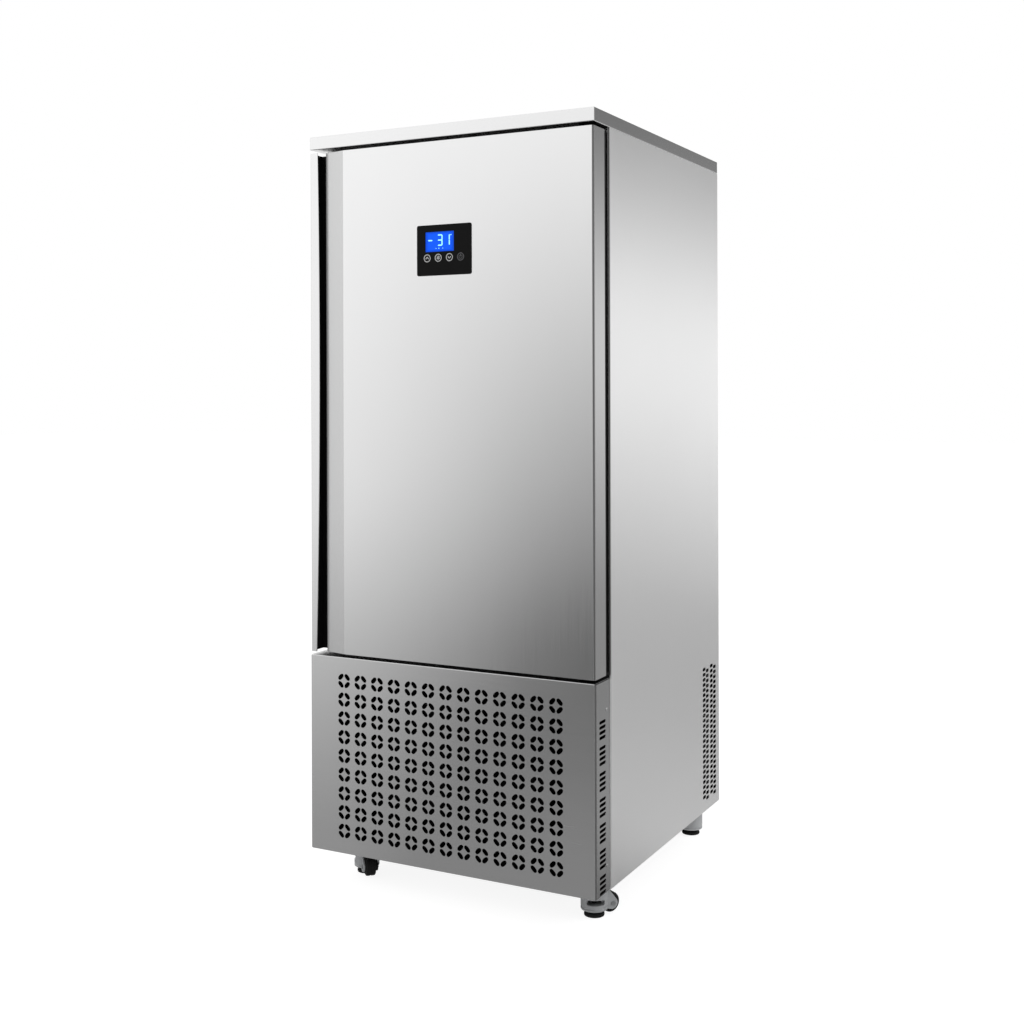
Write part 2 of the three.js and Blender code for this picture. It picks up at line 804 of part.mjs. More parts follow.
function lowerHinge() {
  const low = lowerTop + gap;
  const plate = box(hingeSpan, hingeReach, [low, low + hingeSheet]);
  const rear = bodyFront - gap;
  const leaf = box(hingeSpan, [rear - leafSheet, rear], [lowerTop - leafDrop, low + past]);
  return join(plate, leaf, rod(pinRadius, "z", low + past, doorBottom + pinEngagement, [hingeX, hingeSet]));
}

// ---------- control unit, built round its own centre ----------
const keyPlaces = [-1.5, -0.5, 0.5, 1.5].map((k) => k * keyPitch);

function controlBezel() {
  const plate = prism(roundedRectangle(bezelWidth, bezelHeight, bezelCorner), "y", -bezelProud, 0);
  const body = box([-bodyHalf, bodyHalf], [-bezelProud / 2, bezelDepth], [-bodyRise, bodyRise]);
  const lensSeat = box(
    [-lensLeft - lensWidth / 2 - gap, -lensLeft + lensWidth / 2 + gap],
    [-bezelProud - past, lensRecess + lensSheet - bezelProud + gap],
    [lensUp - lensHeight / 2 - gap, lensUp + lensHeight / 2 + gap],
  );
  const wellDepth = [-bezelProud - past, keyWell - bezelProud];
  const wells = keyPlaces.map((x) => rod(keyRadius + gap, "y", ...wellDepth, [x, -keyDown]));
  return cut(join(plate, body), lensSeat, ...wells);
}

function displayLens() {
  const front = lensRecess - bezelProud;
  return box(
    [-lensLeft - lensWidth / 2, -lensLeft + lensWidth / 2],
    [front, front + lensSheet],
    [lensUp - lensHeight / 2, lensUp + lensHeight / 2],
  );
}

function controls() {
  const unit = new THREE.Group();
  unit.position.z = controlZ;
  piece("control_bezel", controlBezel(), black, unit);
  piece("display_lens", displayLens(), screenBlue, unit);
  keyPlaces.forEach((x, k) => {
    const key = rod(keyRadius, "y", -bezelProud, keyLength - bezelProud, [x, -keyDown]);
    piece(`button_${k + 1}`, key, keyGrey, unit);
  });
  cabinet.add(unit);
}

// ---------- chamber ----------
// From the rear wall forwards: coil, fan motors, fans, fan panel.
const coilFront = chamberRear - coilRear - coilDepth;
const motorFront = coilFront - coilBehind - motorLength;
const fanFront = motorFront - motorBehind - fanThickness;
const fanPanelFront = fanFront - fanBehind - fanPanelSheet;
const fanPanelHalf = chamberHalf - fanPanelSide;
const chamberMiddle = (chamberBottom + chamberTop) / 2;
const fanHeights = [chamberMiddle - fanSpacing / 2, chamberMiddle + fanSpacing / 2];

// A side sheet hung against the chamber wall, with a pressed ledge for each tray.
function trayRack() {
  const outer = chamberHalf - gap;
  const face = outer - rackSheet;
  const ledge = trayHalf - runnerLap;
  const top = chamberTop - rackTop;
  const section = [[outer, top], [face, top]];
  const levels = Math.floor((top - chamberBottom - firstTray) / trayPitch);
  for (let level = levels - 1; level >= 0; level -= 1) {
    const z = chamberBottom + firstTray + level * trayPitch;
    section.push([face, z + runnerSheet], [ledge, z + runnerSheet], [ledge, z], [face, z]);
  }
  section.push([face, chamberBottom + gap], [outer, chamberBottom + gap]);
  return prism(section, "y", bodyFront + rackFront, fanPanelFront - rackClearance);
}


function fanPanel() {
  const rise = [chamberBottom + fanPanelMargin, chamberTop - fanPanelMargin];
  const channel = cut(
    box([-fanPanelHalf, fanPanelHalf], [fanPanelFront, chamberRear - gap], rise),
    box(
      [fanPanelSheet - fanPanelHalf, fanPanelHalf - fanPanelSheet],
      [fanPanelFront + fanPanelSheet, chamberRear],
      [rise[0] - past, rise[1] + past],
    ),
  );
  const through = [fanPanelFront - past, fanPanelFront + fanPanelSheet + past];
  const mouths = fanHeights.map((z) => rod(fanRadius + tipClearance, "y", ...through, [0, z], smooth));
  return cut(channel, ...mouths);
}

// An axial fan about Y, from y = 0 to its thickness: a bored hub and pitched flat blades.
function axialFan(radius) {
  const hub = rod(fanHub, "y", 0, fanThickness);
  const root = fanHub - bladeLap;
  const corner = radius * bladeCorner;
  const tip = radius * bladeSweep;
  const outline = [
    [root, -bladeRoot / 2],
    [corner, -tip],
    [radius, 0],
    [corner, tip],
    [root, bladeRoot / 2],
  ];
  const blade = prism(outline, "y", -bladeSheet / 2, bladeSheet / 2)
    .rotate([bladePitch, 0, 0])
    .translate([0, fanThickness / 2, 0]);
  const blades = Array.from({ length: bladeCount }, (_, k) => blade.rotate([0, (360 * k) / bladeCount, 0]));
  const boreDepth = [fanThickness - shaftReach, fanThickness + past];
  return cut(join(hub, ...blades), rod(shaftRadius + gap, "y", ...boreDepth, [0, 0], smooth));
}

// A fan motor whose shaft enters the hub from behind, held by three arms to the plate in front of it.
function fanMotor(radius, plateRear) {
  const can = rod(motorRadius, "y", 0, motorLength);
  const shaft = rod(shaftRadius, "y", gap - shaftReach - motorBehind, past, [0, 0], smooth);
  const reach = radius + armReach;
  const span = [-armWidth / 2, armWidth / 2];
  const arm = join(
    box([motorRadius - armSheet, reach], [armSet, armSet + armSheet], span),
    box([reach - armSheet, reach], [plateRear + gap, armSet + past], span),
  );
  const arms = [90, 210, 330].map((degrees) => arm.rotate([0, degrees, 0]));
  return join(can, shaft, ...arms);
}

// A finned block: grooves all along its front face, between flat end plates.
function finnedBlock(half, blockDepth, fins, low, high) {
  const pitch = (2 * half) / (2 * fins + 1);
  const section = [[half, blockDepth], [-half, blockDepth]];
  for (let k = 0; k <= fins; k += 1) {
    const x = -half + 2 * k * pitch;
    section.push([x, 0], [x + pitch, 0]);
    if (k < fins) section.push([x + pitch, finDepth], [x + 2 * pitch, finDepth]);
  }
  return prism(section, "z", low, high);
}

function evaporatorCoil() {
  const half = fanPanelHalf - coilSide;
  const rise = [chamberBottom + coilMargin, chamberTop - coilMargin];
  const block = moved(finnedBlock(half, coilDepth, finCount, ...rise), 0, coilFront, 0);
  const plates = [-half - endPlate, half - past].map((x) =>
    box([x, x + endPlate + past], [coilFront - endPlate, chamberRear - gap], rise),
  );
  return join(block, ...plates);
}

function evaporator() {
  piece("fan_panel", fanPanel(), brushedSteel);
  piece("evaporator_coil", evaporatorCoil(), aluminium);
  ["lower", "upper"].forEach((place, k) => {
    const z = fanHeights[k];
    const plateRear = fanPanelFront + fanPanelSheet - motorFront;
    piece(`evaporator_fan_${place}`, moved(axialFan(fanRadius), 0, fanFront, z), black);
    const motor = fanMotor(fanRadius, plateRear);
    piece(`evaporator_fan_motor_${place}`, moved(motor, 0, motorFront, z), zincSteel);
  });
}

// ---------- condensing unit ----------
const condenserBottom = panTop + condenserFeet;
const condenserTop = foamBottom - condenserHeadroom;
const condenserMiddle = (condenserBottom + condenserTop) / 2;
const condenserFanRadius = (condenserTop - condenserBottom) / 2 - shroudLand;
const shroudFront = condenserFront + condenserDepth;
const condenserFanFront = shroudFront + condenserFanBehind;
const condenserMotorFront = condenserFanFront + fanThickness + motorBehind;

function condenserCoil() {
  const rise = [condenserBottom, condenserTop];
  const core = finnedBlock(condenserHalf, condenserDepth, condenserFins, ...rise);
  const shroudRear = shroudFront + shroudDepth;
  const tipRadius = condenserFanRadius + tipClearance;
  const shroud = cut(
    box([-condenserHalf, condenserHalf], [shroudFront - past, shroudRear], rise),
    rod(tipRadius, "y", shroudFront, shroudRear + past, [0, condenserMiddle], smooth),
  );
  const plates = [-condenserHalf - endPlate, condenserHalf - past].map((x) =>
    box([x, x + endPlate + past], [condenserFront, shroudRear], [panTop + gap, condenserTop]),
  );
  return join(moved(core, 0, condenserFront, 0), shroud, ...plates);
}

function compressor() {
  const low = panTop + compressorFeet;
  const dome = Array.from({ length: 5 }, (_, k) => {
    const turn = (Math.PI / 2) * (k / 4);
    const rise = compressorHeight - compressorRadius * (1 - Math.sin(turn)) * compressorDome;
    return [compressorRadius * Math.cos(turn), low + rise];
  });
  const shell = turned([[0, low], [compressorRadius, low], ...dome], "z", smooth);
  const half = compressorRadius + compressorPlate;
  const side = half * compressorPlateShare;
  const plate = box([-half, half], [-side, side], [low - compressorFlange, low + past]);
  const corners = [[1, 1], [-1, 1], [-1, -1], [1, -1]].map(([a, b]) => [
    a * (half - compressorPlate),
    b * (side - compressorPlate),
  ]);
  const feet = corners.map((at) => rod(compressorFootRadius, "z", panTop + gap, low - past, at, small));
  return moved(join(shell, plate, ...feet), compressorX, compressorY, 0);
}

function liquidReceiver() {
  const low = panTop + gap;
  const neck = receiverRadius / 2;
  const profile = [
    [0, low],
    [neck, low],
    [neck, low + receiverEnd / 2],
    [receiverRadius, low + receiverEnd * 1.5],
    [receiverRadius, low + receiverHeight - receiverEnd],
    [neck, low + receiverHeight],
    [0, low + receiverHeight],
  ];
  return moved(turned(profile), receiverX, receiverY, 0);
}

function electricalBox() {
  const left = frameSheet + boxSide - innerHalf;
  const rise = [panTop + gap, panTop + gap + boxHeight];
  const body = box([left, left + boxWidth], [boxFront, boxFront + boxDepth], rise);
  const lid = box(
    [left + boxWidth - past, left + boxWidth + boxLid],
    [boxFront - boxLidLap, boxFront + boxDepth + boxLidLap],
    [rise[0] + boxLidLap, rise[1] + boxLidLap],
  );
  return join(body, lid);
}

// A gland for the mains lead: a nut outside the grille, a body through it and a nut inside.
function cableGland() {
  const centre = [glandX, groundGap + glandHeight];
  const inside = depth - sheet - gap;
  const outer = rod(glandNutRadius, "y", depth + gap, depth + glandProud, centre, 6);
  const inner = rod(glandNutRadius, "y", inside - glandNut, inside, centre, 6);
  const body = rod(glandRadius, "y", depth - glandInside, depth + glandProud - past, centre);
  const bore = rod(glandBore, "y", depth - glandInside - past, depth + glandProud + past, centre);
  return cut(join(outer, inner, body), bore);
}

function condensingUnit() {
  piece("condenser_coil", condenserCoil(), aluminium);
  const fan = axialFan(condenserFanRadius);
  piece("condenser_fan", moved(fan, 0, condenserFanFront, condenserMiddle), black);
  const plateRear = shroudFront + shroudDepth - condenserMotorFront;
  const motor = fanMotor(condenserFanRadius, plateRear);
  piece("condenser_fan_motor", moved(motor, 0, condenserMotorFront, condenserMiddle), zincSteel);
  piece("compressor", compressor(), paintBlack);
  piece("liquid_receiver", liquidReceiver(), paintBlack);
  piece("electrical_box", electricalBox(), zincSteel);
  piece("cable_gland", cableGland(), black);
}

// ---------- assembly ----------
piece("base_frame", baseFrame(), zincSteel);
casters();
piece("side_panel_right", sidePanel(), brushedSteel);
piece("side_panel_left", plainSidePanel(), brushedSteel);
piece("rear_panel", rearPanel(), zincSteel);
piece("rear_grille", rearGrille(), zincSteel);
piece("top_panel", topPanel(), brushedSteel);
piece("cabinet_insulation", insulation(), foam);
piece("inner_liner", innerLiner(), brushedSteel);
piece("tray_rack_right", trayRack(), brushedSteel);
piece("tray_rack_left", mirrored(trayRack()), brushedSteel);
evaporator();
condensingUnit();
piece("lower_front_panel", lowerFrontPanel(), brushedSteel);
["lower", "upper"].forEach((place, k) => {
  piece(`panel_screw_${place}_right`, panelScrew(screwHeights[k]), zincSteel);
  piece(`panel_screw_${place}_left`, mirrored(panelScrew(screwHeights[k])), zincSteel);
});
piece("door_skin", doorSkin(), brushedSteel);
piece("door_insulation", doorInsulation(), foam);
piece("door_inner_panel", doorInnerPanel(), brushedSteel);
piece("door_gasket", doorGasket(), rubber);
piece("hinge_upper", upperHinge(), zincSteel);
piece("hinge_lower", lowerHinge(), zincSteel);
controls();

const chiller = new THREE.Group();
chiller.add(cabinet);
export default chiller;
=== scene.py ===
# Looks of the blast chiller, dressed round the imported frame: finer sheets, seal, controls and casters,
# a material for every piece, and a plain studio. Metres, in the frame's own axes.
import json
import math

import bmesh
import bpy
from mathutils import Matrix, Vector


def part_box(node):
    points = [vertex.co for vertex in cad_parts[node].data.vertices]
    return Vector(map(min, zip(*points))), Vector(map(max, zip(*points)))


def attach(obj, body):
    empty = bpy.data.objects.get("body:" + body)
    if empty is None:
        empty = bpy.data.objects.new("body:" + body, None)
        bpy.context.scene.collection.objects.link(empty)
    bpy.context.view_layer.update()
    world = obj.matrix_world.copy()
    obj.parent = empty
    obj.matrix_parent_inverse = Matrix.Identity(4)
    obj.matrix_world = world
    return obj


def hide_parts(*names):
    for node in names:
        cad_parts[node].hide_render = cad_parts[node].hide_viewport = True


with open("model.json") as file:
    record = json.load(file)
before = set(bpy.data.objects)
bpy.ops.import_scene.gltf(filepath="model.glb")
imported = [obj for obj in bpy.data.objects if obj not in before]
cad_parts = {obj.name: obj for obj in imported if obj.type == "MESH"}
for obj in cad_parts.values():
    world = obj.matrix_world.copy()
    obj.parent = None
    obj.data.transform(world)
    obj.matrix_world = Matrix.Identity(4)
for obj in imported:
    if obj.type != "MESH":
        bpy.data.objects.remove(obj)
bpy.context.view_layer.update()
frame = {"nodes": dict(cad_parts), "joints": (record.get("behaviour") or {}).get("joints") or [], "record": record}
nodes = frame["nodes"]
slot_of = {s["node"]: s["material_slot"] for s in frame["record"]["subparts"]}
body_of = {n: b for b, names in frame["record"]["behaviour"]["bodies"].items() for n in names}

MM = 0.001
SHEET = 1.2 * MM
BEND = 2.0 * MM
BEND_STEPS = 4
GAP = 0.3 * MM
CUT = 5 * MM  # how far a cutter goes past a face
LEFT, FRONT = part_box("door_skin")[0].xy
BODY_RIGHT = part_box("lower_front_panel")[1].x
LOWER_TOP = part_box("lower_front_panel")[1].z
SIDE_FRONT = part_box("side_panel_right")[0].y
Z_TO_FRONT = Matrix.Rotation(math.radians(90), 4, "X")


def put(name, data):
    thing = bpy.data.objects.new(name, data)
    bpy.context.scene.collection.objects.link(thing)
    return thing


# --- camera ---
def add_camera():
    camera = put("camera", bpy.data.cameras.new("camera"))
    camera.data.lens = 47.22
    camera.data.sensor_width = 36.0
    camera.data.shift_y = -0.1183
    camera.data.clip_start, camera.data.clip_end = 0.05, 60.0
    camera.location = (1.6608, -3.2571, 1.2669)
    camera.rotation_euler = (math.radians(90), math.radians(0.173), math.radians(27.612))
    bpy.context.scene.camera = camera


# --- node helpers ---
class Nodes:
    """A material's or world's node tree, with short calls to add and link."""

    def __init__(self, tree):
        self.tree = tree
        tree.nodes.clear()

    def add(self, kind, inputs=None, **values):
        """A new node with its settings and inputs."""
        node = self.tree.nodes.new(kind)
        for name, value in values.items():
            setattr(node, name, value)
        self.feed(node, inputs or {})
        return node

    def feed(self, node, inputs):
        """Gives inputs, by name or number, a value each or another node's result."""
        for name, value in inputs.items():
            if isinstance(value, bpy.types.NodeSocket):
                self.tree.links.new(value, node.inputs[name])
            else:
                node.inputs[name].default_value = value

    def show(self, result, kind="Material"):
        """Makes a shader's result the surface."""
        self.add("ShaderNodeOutput" + kind, {"Surface": result})

    def coordinates(self, kind):
        return self.add("ShaderNodeTexCoord").outputs[kind]

    def parts(self, vector):
        """The X, Y and Z of a vector."""
        return self.add("ShaderNodeSeparateXYZ", {"Vector": vector}).outputs

    def noise(self, coordinates, stretch, detail):
        """Noise over object coordinates, stretched by a scale on each axis."""
        place = self.add("ShaderNodeMapping", {"Scale": stretch, "Vector": coordinates})
        inputs = {"Scale": 1, "Detail": detail, "Vector": place.outputs["Vector"]}
        return self.add("ShaderNodeTexNoise", inputs).outputs["Fac"]

    def span(self, value, low, high, source=(0.25, 0.75)):
        """value moved from a source range to low..high."""
        inputs = {"Value": value, "To Min": low, "To Max": high}
        inputs["From Min"], inputs["From Max"] = source
        return self.add("ShaderNodeMapRange", inputs).outputs["Result"]

    def math(self, operation, a, b):
        return self.add("ShaderNodeMath", {0: a, 1: b}, operation=operation).outputs["Value"]

    def size(self, value):
        return self.math("ABSOLUTE", value, 0)

    def times(self, a, b):
        return self.math("MULTIPLY", a, b)

    def total(self, a, b):
        return self.math("ADD", a, b)

    def most(self, first, *others):
        """The largest of some values."""
        for other in others:
            first = self.math("MAXIMUM", first, other)
        return first

    def mix(self, factor, a, b, kind="RGBA", **values):
        """a where the factor is 0 and b where it is 1. Each is a colour, or another node's result."""
        a, b = ((*value, 1) if isinstance(value, tuple) else value for value in (a, b))
        inputs = {"Factor": factor, "A": a, "B": b}
        return self.add("ShaderNodeMix", inputs, data_type=kind, **values).outputs["Result"]

    def bump(self, height, strength, distance):
        inputs = {"Strength": strength, "Distance": distance, "Height": height}
        return self.add("ShaderNodeBump", inputs).outputs["Normal"]


def blank_material(name):
    material = bpy.data.materials.new(name)
    material.use_nodes = True
    return material, Nodes(material.node_tree)


def new_material(name, color, roughness, metallic, sheen=0.5):
    """A plain surface to build on. Returns the material, its nodes and its shader."""
    material, n = blank_material(name)
    material.diffuse_color = (*color, 1)
    inputs = {"Base Color": (*color, 1), "Roughness": roughness, "Metallic": metallic}
    shader = n.add("ShaderNodeBsdfPrincipled", {**inputs, "Specular IOR Level": sheen})
    n.show(shader.outputs["BSDF"])
    return material, n, shader


def shade(color, factor):
    return tuple(min(1.0, c * factor) for c in color)


ACROSS_GRAIN, ALONG_GRAIN = 620.0, 7.0  # scratches in a metre
SCRATCH_CONTRAST = 0.01
SCRATCH_GLOSS = 0.015
SMUDGE_GLOSS = 0.015
# Painted shade: the black that faces in deep gaps are turned to, standing in for the shade there.
PAINTED_GAP_SHADE = (0.012, 0.012, 0.012)
WHOLE = (0, 1)


def brushed(name, color, roughness, along, side=1.0, painted_shade=None, metallic=1.0):
    """Brushed sheet: fine scratches along one axis and faint smudges. Faces that look to the sides
    are darker by the side factor, which is painted shade. A gap function paints shade on faces in
    deep gaps, black and dull, from the nodes, the normal's parts and the place's parts."""
    material, n, shader = new_material(name, color, roughness, metallic)
    at = n.coordinates("Object")
    stretch = tuple(ALONG_GRAIN if axis == along else ACROSS_GRAIN for axis in "xyz")
    scratch = n.noise(at, stretch, detail=4)
    cloud = n.noise(at, (3.1, 3.1, 2.3), detail=3)
    fine = (shade(color, 1 - SCRATCH_CONTRAST), shade(color, 1 + SCRATCH_CONTRAST))
    base = n.mix(n.span(scratch, 0, 1), *fine)
    normal = n.parts(n.coordinates("Normal"))
    # Painted shade: faces that look along X are darkened by the side factor.
    side_face_shade = n.span(n.size(normal["X"]), 0, 1, (0.86, 0.98))
    base = n.mix(side_face_shade, base, (side, side, side), blend_type="MULTIPLY")
    # Painted shade: faces in deep gaps turn black, dull and not metal, as gaps in shade look.
    if painted_shade:
        painted_shade_mask = painted_shade(n, normal, n.parts(at))
        base = n.mix(painted_shade_mask, base, PAINTED_GAP_SHADE)
        sheen = n.span(painted_shade_mask, 0.5, 0.05, WHOLE)
        n.feed(shader, {"Metallic": n.span(painted_shade_mask, metallic, 0, WHOLE), "Specular IOR Level": sheen})
    rough = n.span(scratch, roughness - SCRATCH_GLOSS, roughness + SCRATCH_GLOSS)
    rough = n.total(rough, n.span(cloud, -SMUDGE_GLOSS, SMUDGE_GLOSS))
    relief = n.bump(scratch, 0.05, 0.08 * MM)
    n.feed(shader, {"Base Color": base, "Roughness": rough, "Normal": relief})
    return material


def painted_fold_shade(n, place, edge):
    """Painted shade: a darkened line along the front right fold, whose outer face is at edge."""
    across = n.span(place["X"], 0, 0.85, (edge - 4.5 * MM, edge - 3 * MM))
    return n.times(across, n.span(place["Y"], 1, 0, (FRONT + 1.5 * MM, FRONT + 7.5 * MM)))


def painted_top_gap_shade(n, normal, place):
    """Painted shade on the top panel's underside over the door's gap, but not over the finger channel."""
    beside = n.span(place["X"], 0, 1, (LEFT + 28 * MM, LEFT + 68 * MM))
    return n.times(n.span(normal["Z"], 1, 0, (-0.95, -0.8)), beside)


def painted_lower_gap_shade(n, normal, place):
    """Painted shade on the lower panel's upper fold under the door's gap, its inner faces and its right fold."""
    beside = n.span(place["X"], 0, 1, (-BODY_RIGHT, -BODY_RIGHT + 40 * MM))
    upper = n.times(n.span(normal["Z"], 0, 1, (0.45, 0.85)), beside)
    inner = n.span(normal["Y"], 0, 1, (0.3, 0.7))
    return n.most(upper, inner, painted_fold_shade(n, place, BODY_RIGHT))


def painted_inner_shade(n, normal, place):
    """Painted shade on a side panel's face towards the cabinet, and on its front edge, darkest beside the door."""
    inside = n.span(n.times(normal["X"], place["X"]), 1, 0, (-0.3, -0.1))
    edge = n.span(place["Y"], 1, 0, (SIDE_FRONT + 4 * MM, SIDE_FRONT + 10.5 * MM))
    depth = n.span(place["Z"], 0.3, 0.95, (LOWER_TOP - 7 * MM, LOWER_TOP + 8 * MM))
    return n.most(inside, n.times(edge, depth))


def painted_door_shade(n, normal, place):
    """Painted shade on the door's end faces, its right fold, and the ramp and deep part of its finger channel."""
    ends = n.span(n.size(normal["Z"]), 0, 1, (0.8, 0.95))
    inward = n.span(place["X"], 1, 0, (LEFT + 35 * MM, LEFT + 53 * MM))
    behind = n.span(place["Y"], 0, 1, (FRONT + 0.8 * MM, FRONT + 2.5 * MM))
    inside = n.span(normal["X"], 0, 1, (-0.98, -0.9))
    ramp = n.times(n.span(normal["X"], 0.2, 0, (-0.2, -0.08)), inside)
    recess = n.times(n.times(inward, behind), inside)
    return n.most(ends, ramp, painted_fold_shade(n, place, -LEFT), recess)


def coated(name, color, roughness, metallic=0.0, grain=900, depth=0.06 * MM, variation=0.06, sheen=0.5):
    """A cast, moulded or painted surface: fine grain, slight colour and gloss variation."""
    material, n, shader = new_material(name, color, roughness, metallic, sheen)
    at = n.coordinates("Object")
    speck = n.noise(at, (grain, grain, grain), detail=2)
    cloud = n.noise(at, (28.0, 28.0, 28.0), detail=3)
    base = n.mix(n.span(cloud, 0, 1), shade(color, 1 - variation), shade(color, 1 + variation))
    rough = n.span(cloud, roughness - 0.05, roughness + 0.05)
    n.feed(shader, {"Base Color": base, "Roughness": rough, "Normal": n.bump(speck, 0.35, depth)})
    return material


def lit(name, color, strength, window=False):
    """A glowing part of the display: slightly uneven, or a window that is darker towards its rim."""
    material, n, shader = new_material(name, color, 0.35, 0.0, sheen=0.08)
    if window:
        place = n.parts(n.coordinates("Generated"))
        off_centre = [n.size(n.math("SUBTRACT", place[axis], 0.5)) for axis in "XZ"]
        rim = n.span(n.most(*off_centre), 0, 1, (0.36, 0.5))
        glow = n.mix(rim, color, shade(color, 0.62))
    else:
        cloud = n.noise(n.coordinates("Object"), (60.0, 60.0, 60.0), detail=2)
        glow = n.mix(n.span(cloud, 0, 1), shade(color, 0.9), shade(color, 1.1))
    n.feed(shader, {"Base Color": glow, "Emission Color": glow, "Emission Strength": strength})
    return material


STEEL_COLOR = (0.78, 0.78, 0.781)
ZINC_COLOR = (0.50, 0.51, 0.52)
CAST_COLOR = (0.52, 0.53, 0.54)

# Painted shade on these sheets: faces that look along X are darker by the side factor, and each gap function turns
# faces in gaps black.
door_steel = brushed("door_steel", STEEL_COLOR, 0.23, "z", side=0.66, painted_shade=painted_door_shade)
top_steel = brushed("top_steel", STEEL_COLOR, 0.25, "x", side=0.55, painted_shade=painted_top_gap_shade)
lower_steel = brushed("lower_steel", STEEL_COLOR, 0.25, "x", side=0.55, painted_shade=painted_lower_gap_shade)
satin_steel = brushed("satin_side_steel", (0.815, 0.815, 0.815), 0.30, "z", painted_shade=painted_inner_shade, metallic=0.88)
screw_steel = coated("screw_steel", (0.64, 0.64, 0.64), 0.25, metallic=1.0)
zinc = coated("zinc_plate", ZINC_COLOR, 0.42, metallic=1.0, grain=160, depth=0.03 * MM)
cast = coated("cast_housing", CAST_COLOR, 0.4, metallic=0.55, grain=700)
bezel_black = coated("bezel_black", (0.007, 0.007, 0.007), 0.34, grain=1800, depth=0.03 * MM, sheen=0.04)
rubber = coated("black_rubber", (0.012, 0.012, 0.012), 0.72, grain=1100, sheen=0.2)
seal_rubber = coated("seal_rubber", (0.01, 0.01, 0.01), 0.7, sheen=0.15)
screen_blue = lit("screen_blue", (0.004, 0.068, 0.62), 0.8, window=True)
digit_light = lit("digit_light", (0.25, 0.6, 1.0), 1.0)
icon_grey = coated("icon_grey", (0.45, 0.45, 0.45), 0.5, grain=1200)
icon_dark = coated("icon_dark", (0.07, 0.07, 0.075), 0.5, grain=1200)
key_black = coated("key_black", (0.012, 0.012, 0.012), 0.4, grain=1500, sheen=0.06)

SLOTS = {
    # Painted shade: faces of this steel that look along X are darker by the side factor.
    "brushed_steel": brushed("steel_vertical_grain", STEEL_COLOR, 0.23, "z", side=0.62),
    "zinc_steel": zinc,
    "cast_grey": cast,
    "aluminium_fins": brushed("fin_stock", (0.62, 0.63, 0.64), 0.35, "z"),
    "black_plastic": coated("black_plastic", (0.015, 0.015, 0.016), 0.42, grain=1400, sheen=0.3),
    "rubber": rubber,
    "foam": coated("foam", (0.72, 0.6, 0.34), 0.95, grain=420, depth=0.4 * MM, variation=0.12),
    "display_screen": screen_blue,
    "key_caps": key_black,
    # Black paint made near-black and dull so that the parts inside, seen through the vents and gaps, read as
    # shade: real black paint with painted shade.
    "black_paint": coated("black_enamel_and_painted_shade", (0.004, 0.004, 0.004), 0.8, grain=500, sheen=0.03),
}


# --- mesh helpers ---
def finish_mesh(name, bm, material, smooth_angle=None):
    """A mesh object from a bmesh. Without an angle it stays flat shaded."""
    bmesh.ops.recalc_face_normals(bm, faces=bm.faces)
    mesh = bpy.data.meshes.new(name)
    bm.to_mesh(mesh)
    bm.free()
    if smooth_angle is not None:
        mesh.shade_smooth()
        mesh.set_sharp_from_angle(angle=math.radians(smooth_angle))
    mesh.materials.append(material)
    return put(name, mesh)


def add_to(node, piece):
    """Puts a piece on a node's body."""
    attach(piece, body_of[node])


def dress(node, piece):
    """Puts a piece in the place of a node."""
    add_to(node, piece)
    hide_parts(node)


def apply_modifiers(piece):
    """Bakes the piece's modifiers into its mesh."""
    graph = bpy.context.evaluated_depsgraph_get()
    mesh = bpy.data.meshes.new_from_object(piece.evaluated_get(graph))
    piece.modifiers.clear()
    piece.data = mesh


def carve(piece, *cutter_meshes, operation="DIFFERENCE"):
    """Cuts bmeshes out of a piece, or joins them to it, and keeps its one material."""
    material = piece.data.materials[0]
    for bm in cutter_meshes:
        cutter = finish_mesh("cutter", bm, material)
        modifier = piece.modifiers.new("carve", "BOOLEAN")
        modifier.operation = operation
        modifier.object = cutter
        modifier.solver = "EXACT"
        apply_modifiers(piece)
        bpy.data.objects.remove(cutter)
    piece.data.materials.clear()
    piece.data.materials.append(material)


def weighted(piece):
    """Normals weighted by face area, so that large flats next to small bends shade flat."""
    piece.modifiers.new("normals", "WEIGHTED_NORMAL").keep_sharp = True


def join_rings(bm, a, b):
    """A band of faces between two rings of vertices."""
    for k in range(len(a)):
        j = (k + 1) % len(a)
        bm.faces.new((a[k], a[j], b[j], b[k]))


def loft(bm, rings):
    """Skins a list of rings of points, with a cap at each end."""
    rows = [[bm.verts.new(p) for p in ring] for ring in rings]
    for a, b in zip(rows, rows[1:]):
        join_rings(bm, a, b)
    bm.faces.new(rows[0][::-1])
    bm.faces.new(rows[-1])


def in_mm(points):
    """Points given in mm, in metres."""
    return [(a * MM, b * MM) for a, b in points]


def circle(a, b, radius, count):
    turns = [2 * math.pi * k / count for k in range(count)]
    return [(a + radius * math.cos(t), b + radius * math.sin(t)) for t in turns]


def block(low, high):
    """A plain box as a bmesh."""
    bm = bmesh.new()
    bmesh.ops.create_cube(bm, size=1)
    for v in bm.verts:
        v.co = Vector([a if c < 0 else b for a, b, c in zip(low, high, v.co)])
    return bm


def lathe(bm, profile, sides, place=Matrix.Identity(4)):
    """A profile of (radius, height) points turned about Z, then placed. Radius 0 closes an end."""
    rows = []
    for radius, height in profile:
        ring = circle(0, 0, radius, sides if radius else 1)
        rows.append([bm.verts.new(place @ Vector((x, y, height))) for x, y in ring])
    for a, b in zip(rows, rows[1:]):
        for k in range(sides):
            j = (k + 1) % sides
            corners = [a[k % len(a)], a[j % len(a)], b[j % len(b)], b[k % len(b)]]
            distinct = [c for i, c in enumerate(corners) if c not in corners[:i]]
            if len(distinct) > 2:
                bm.faces.new(distinct)
    return rows


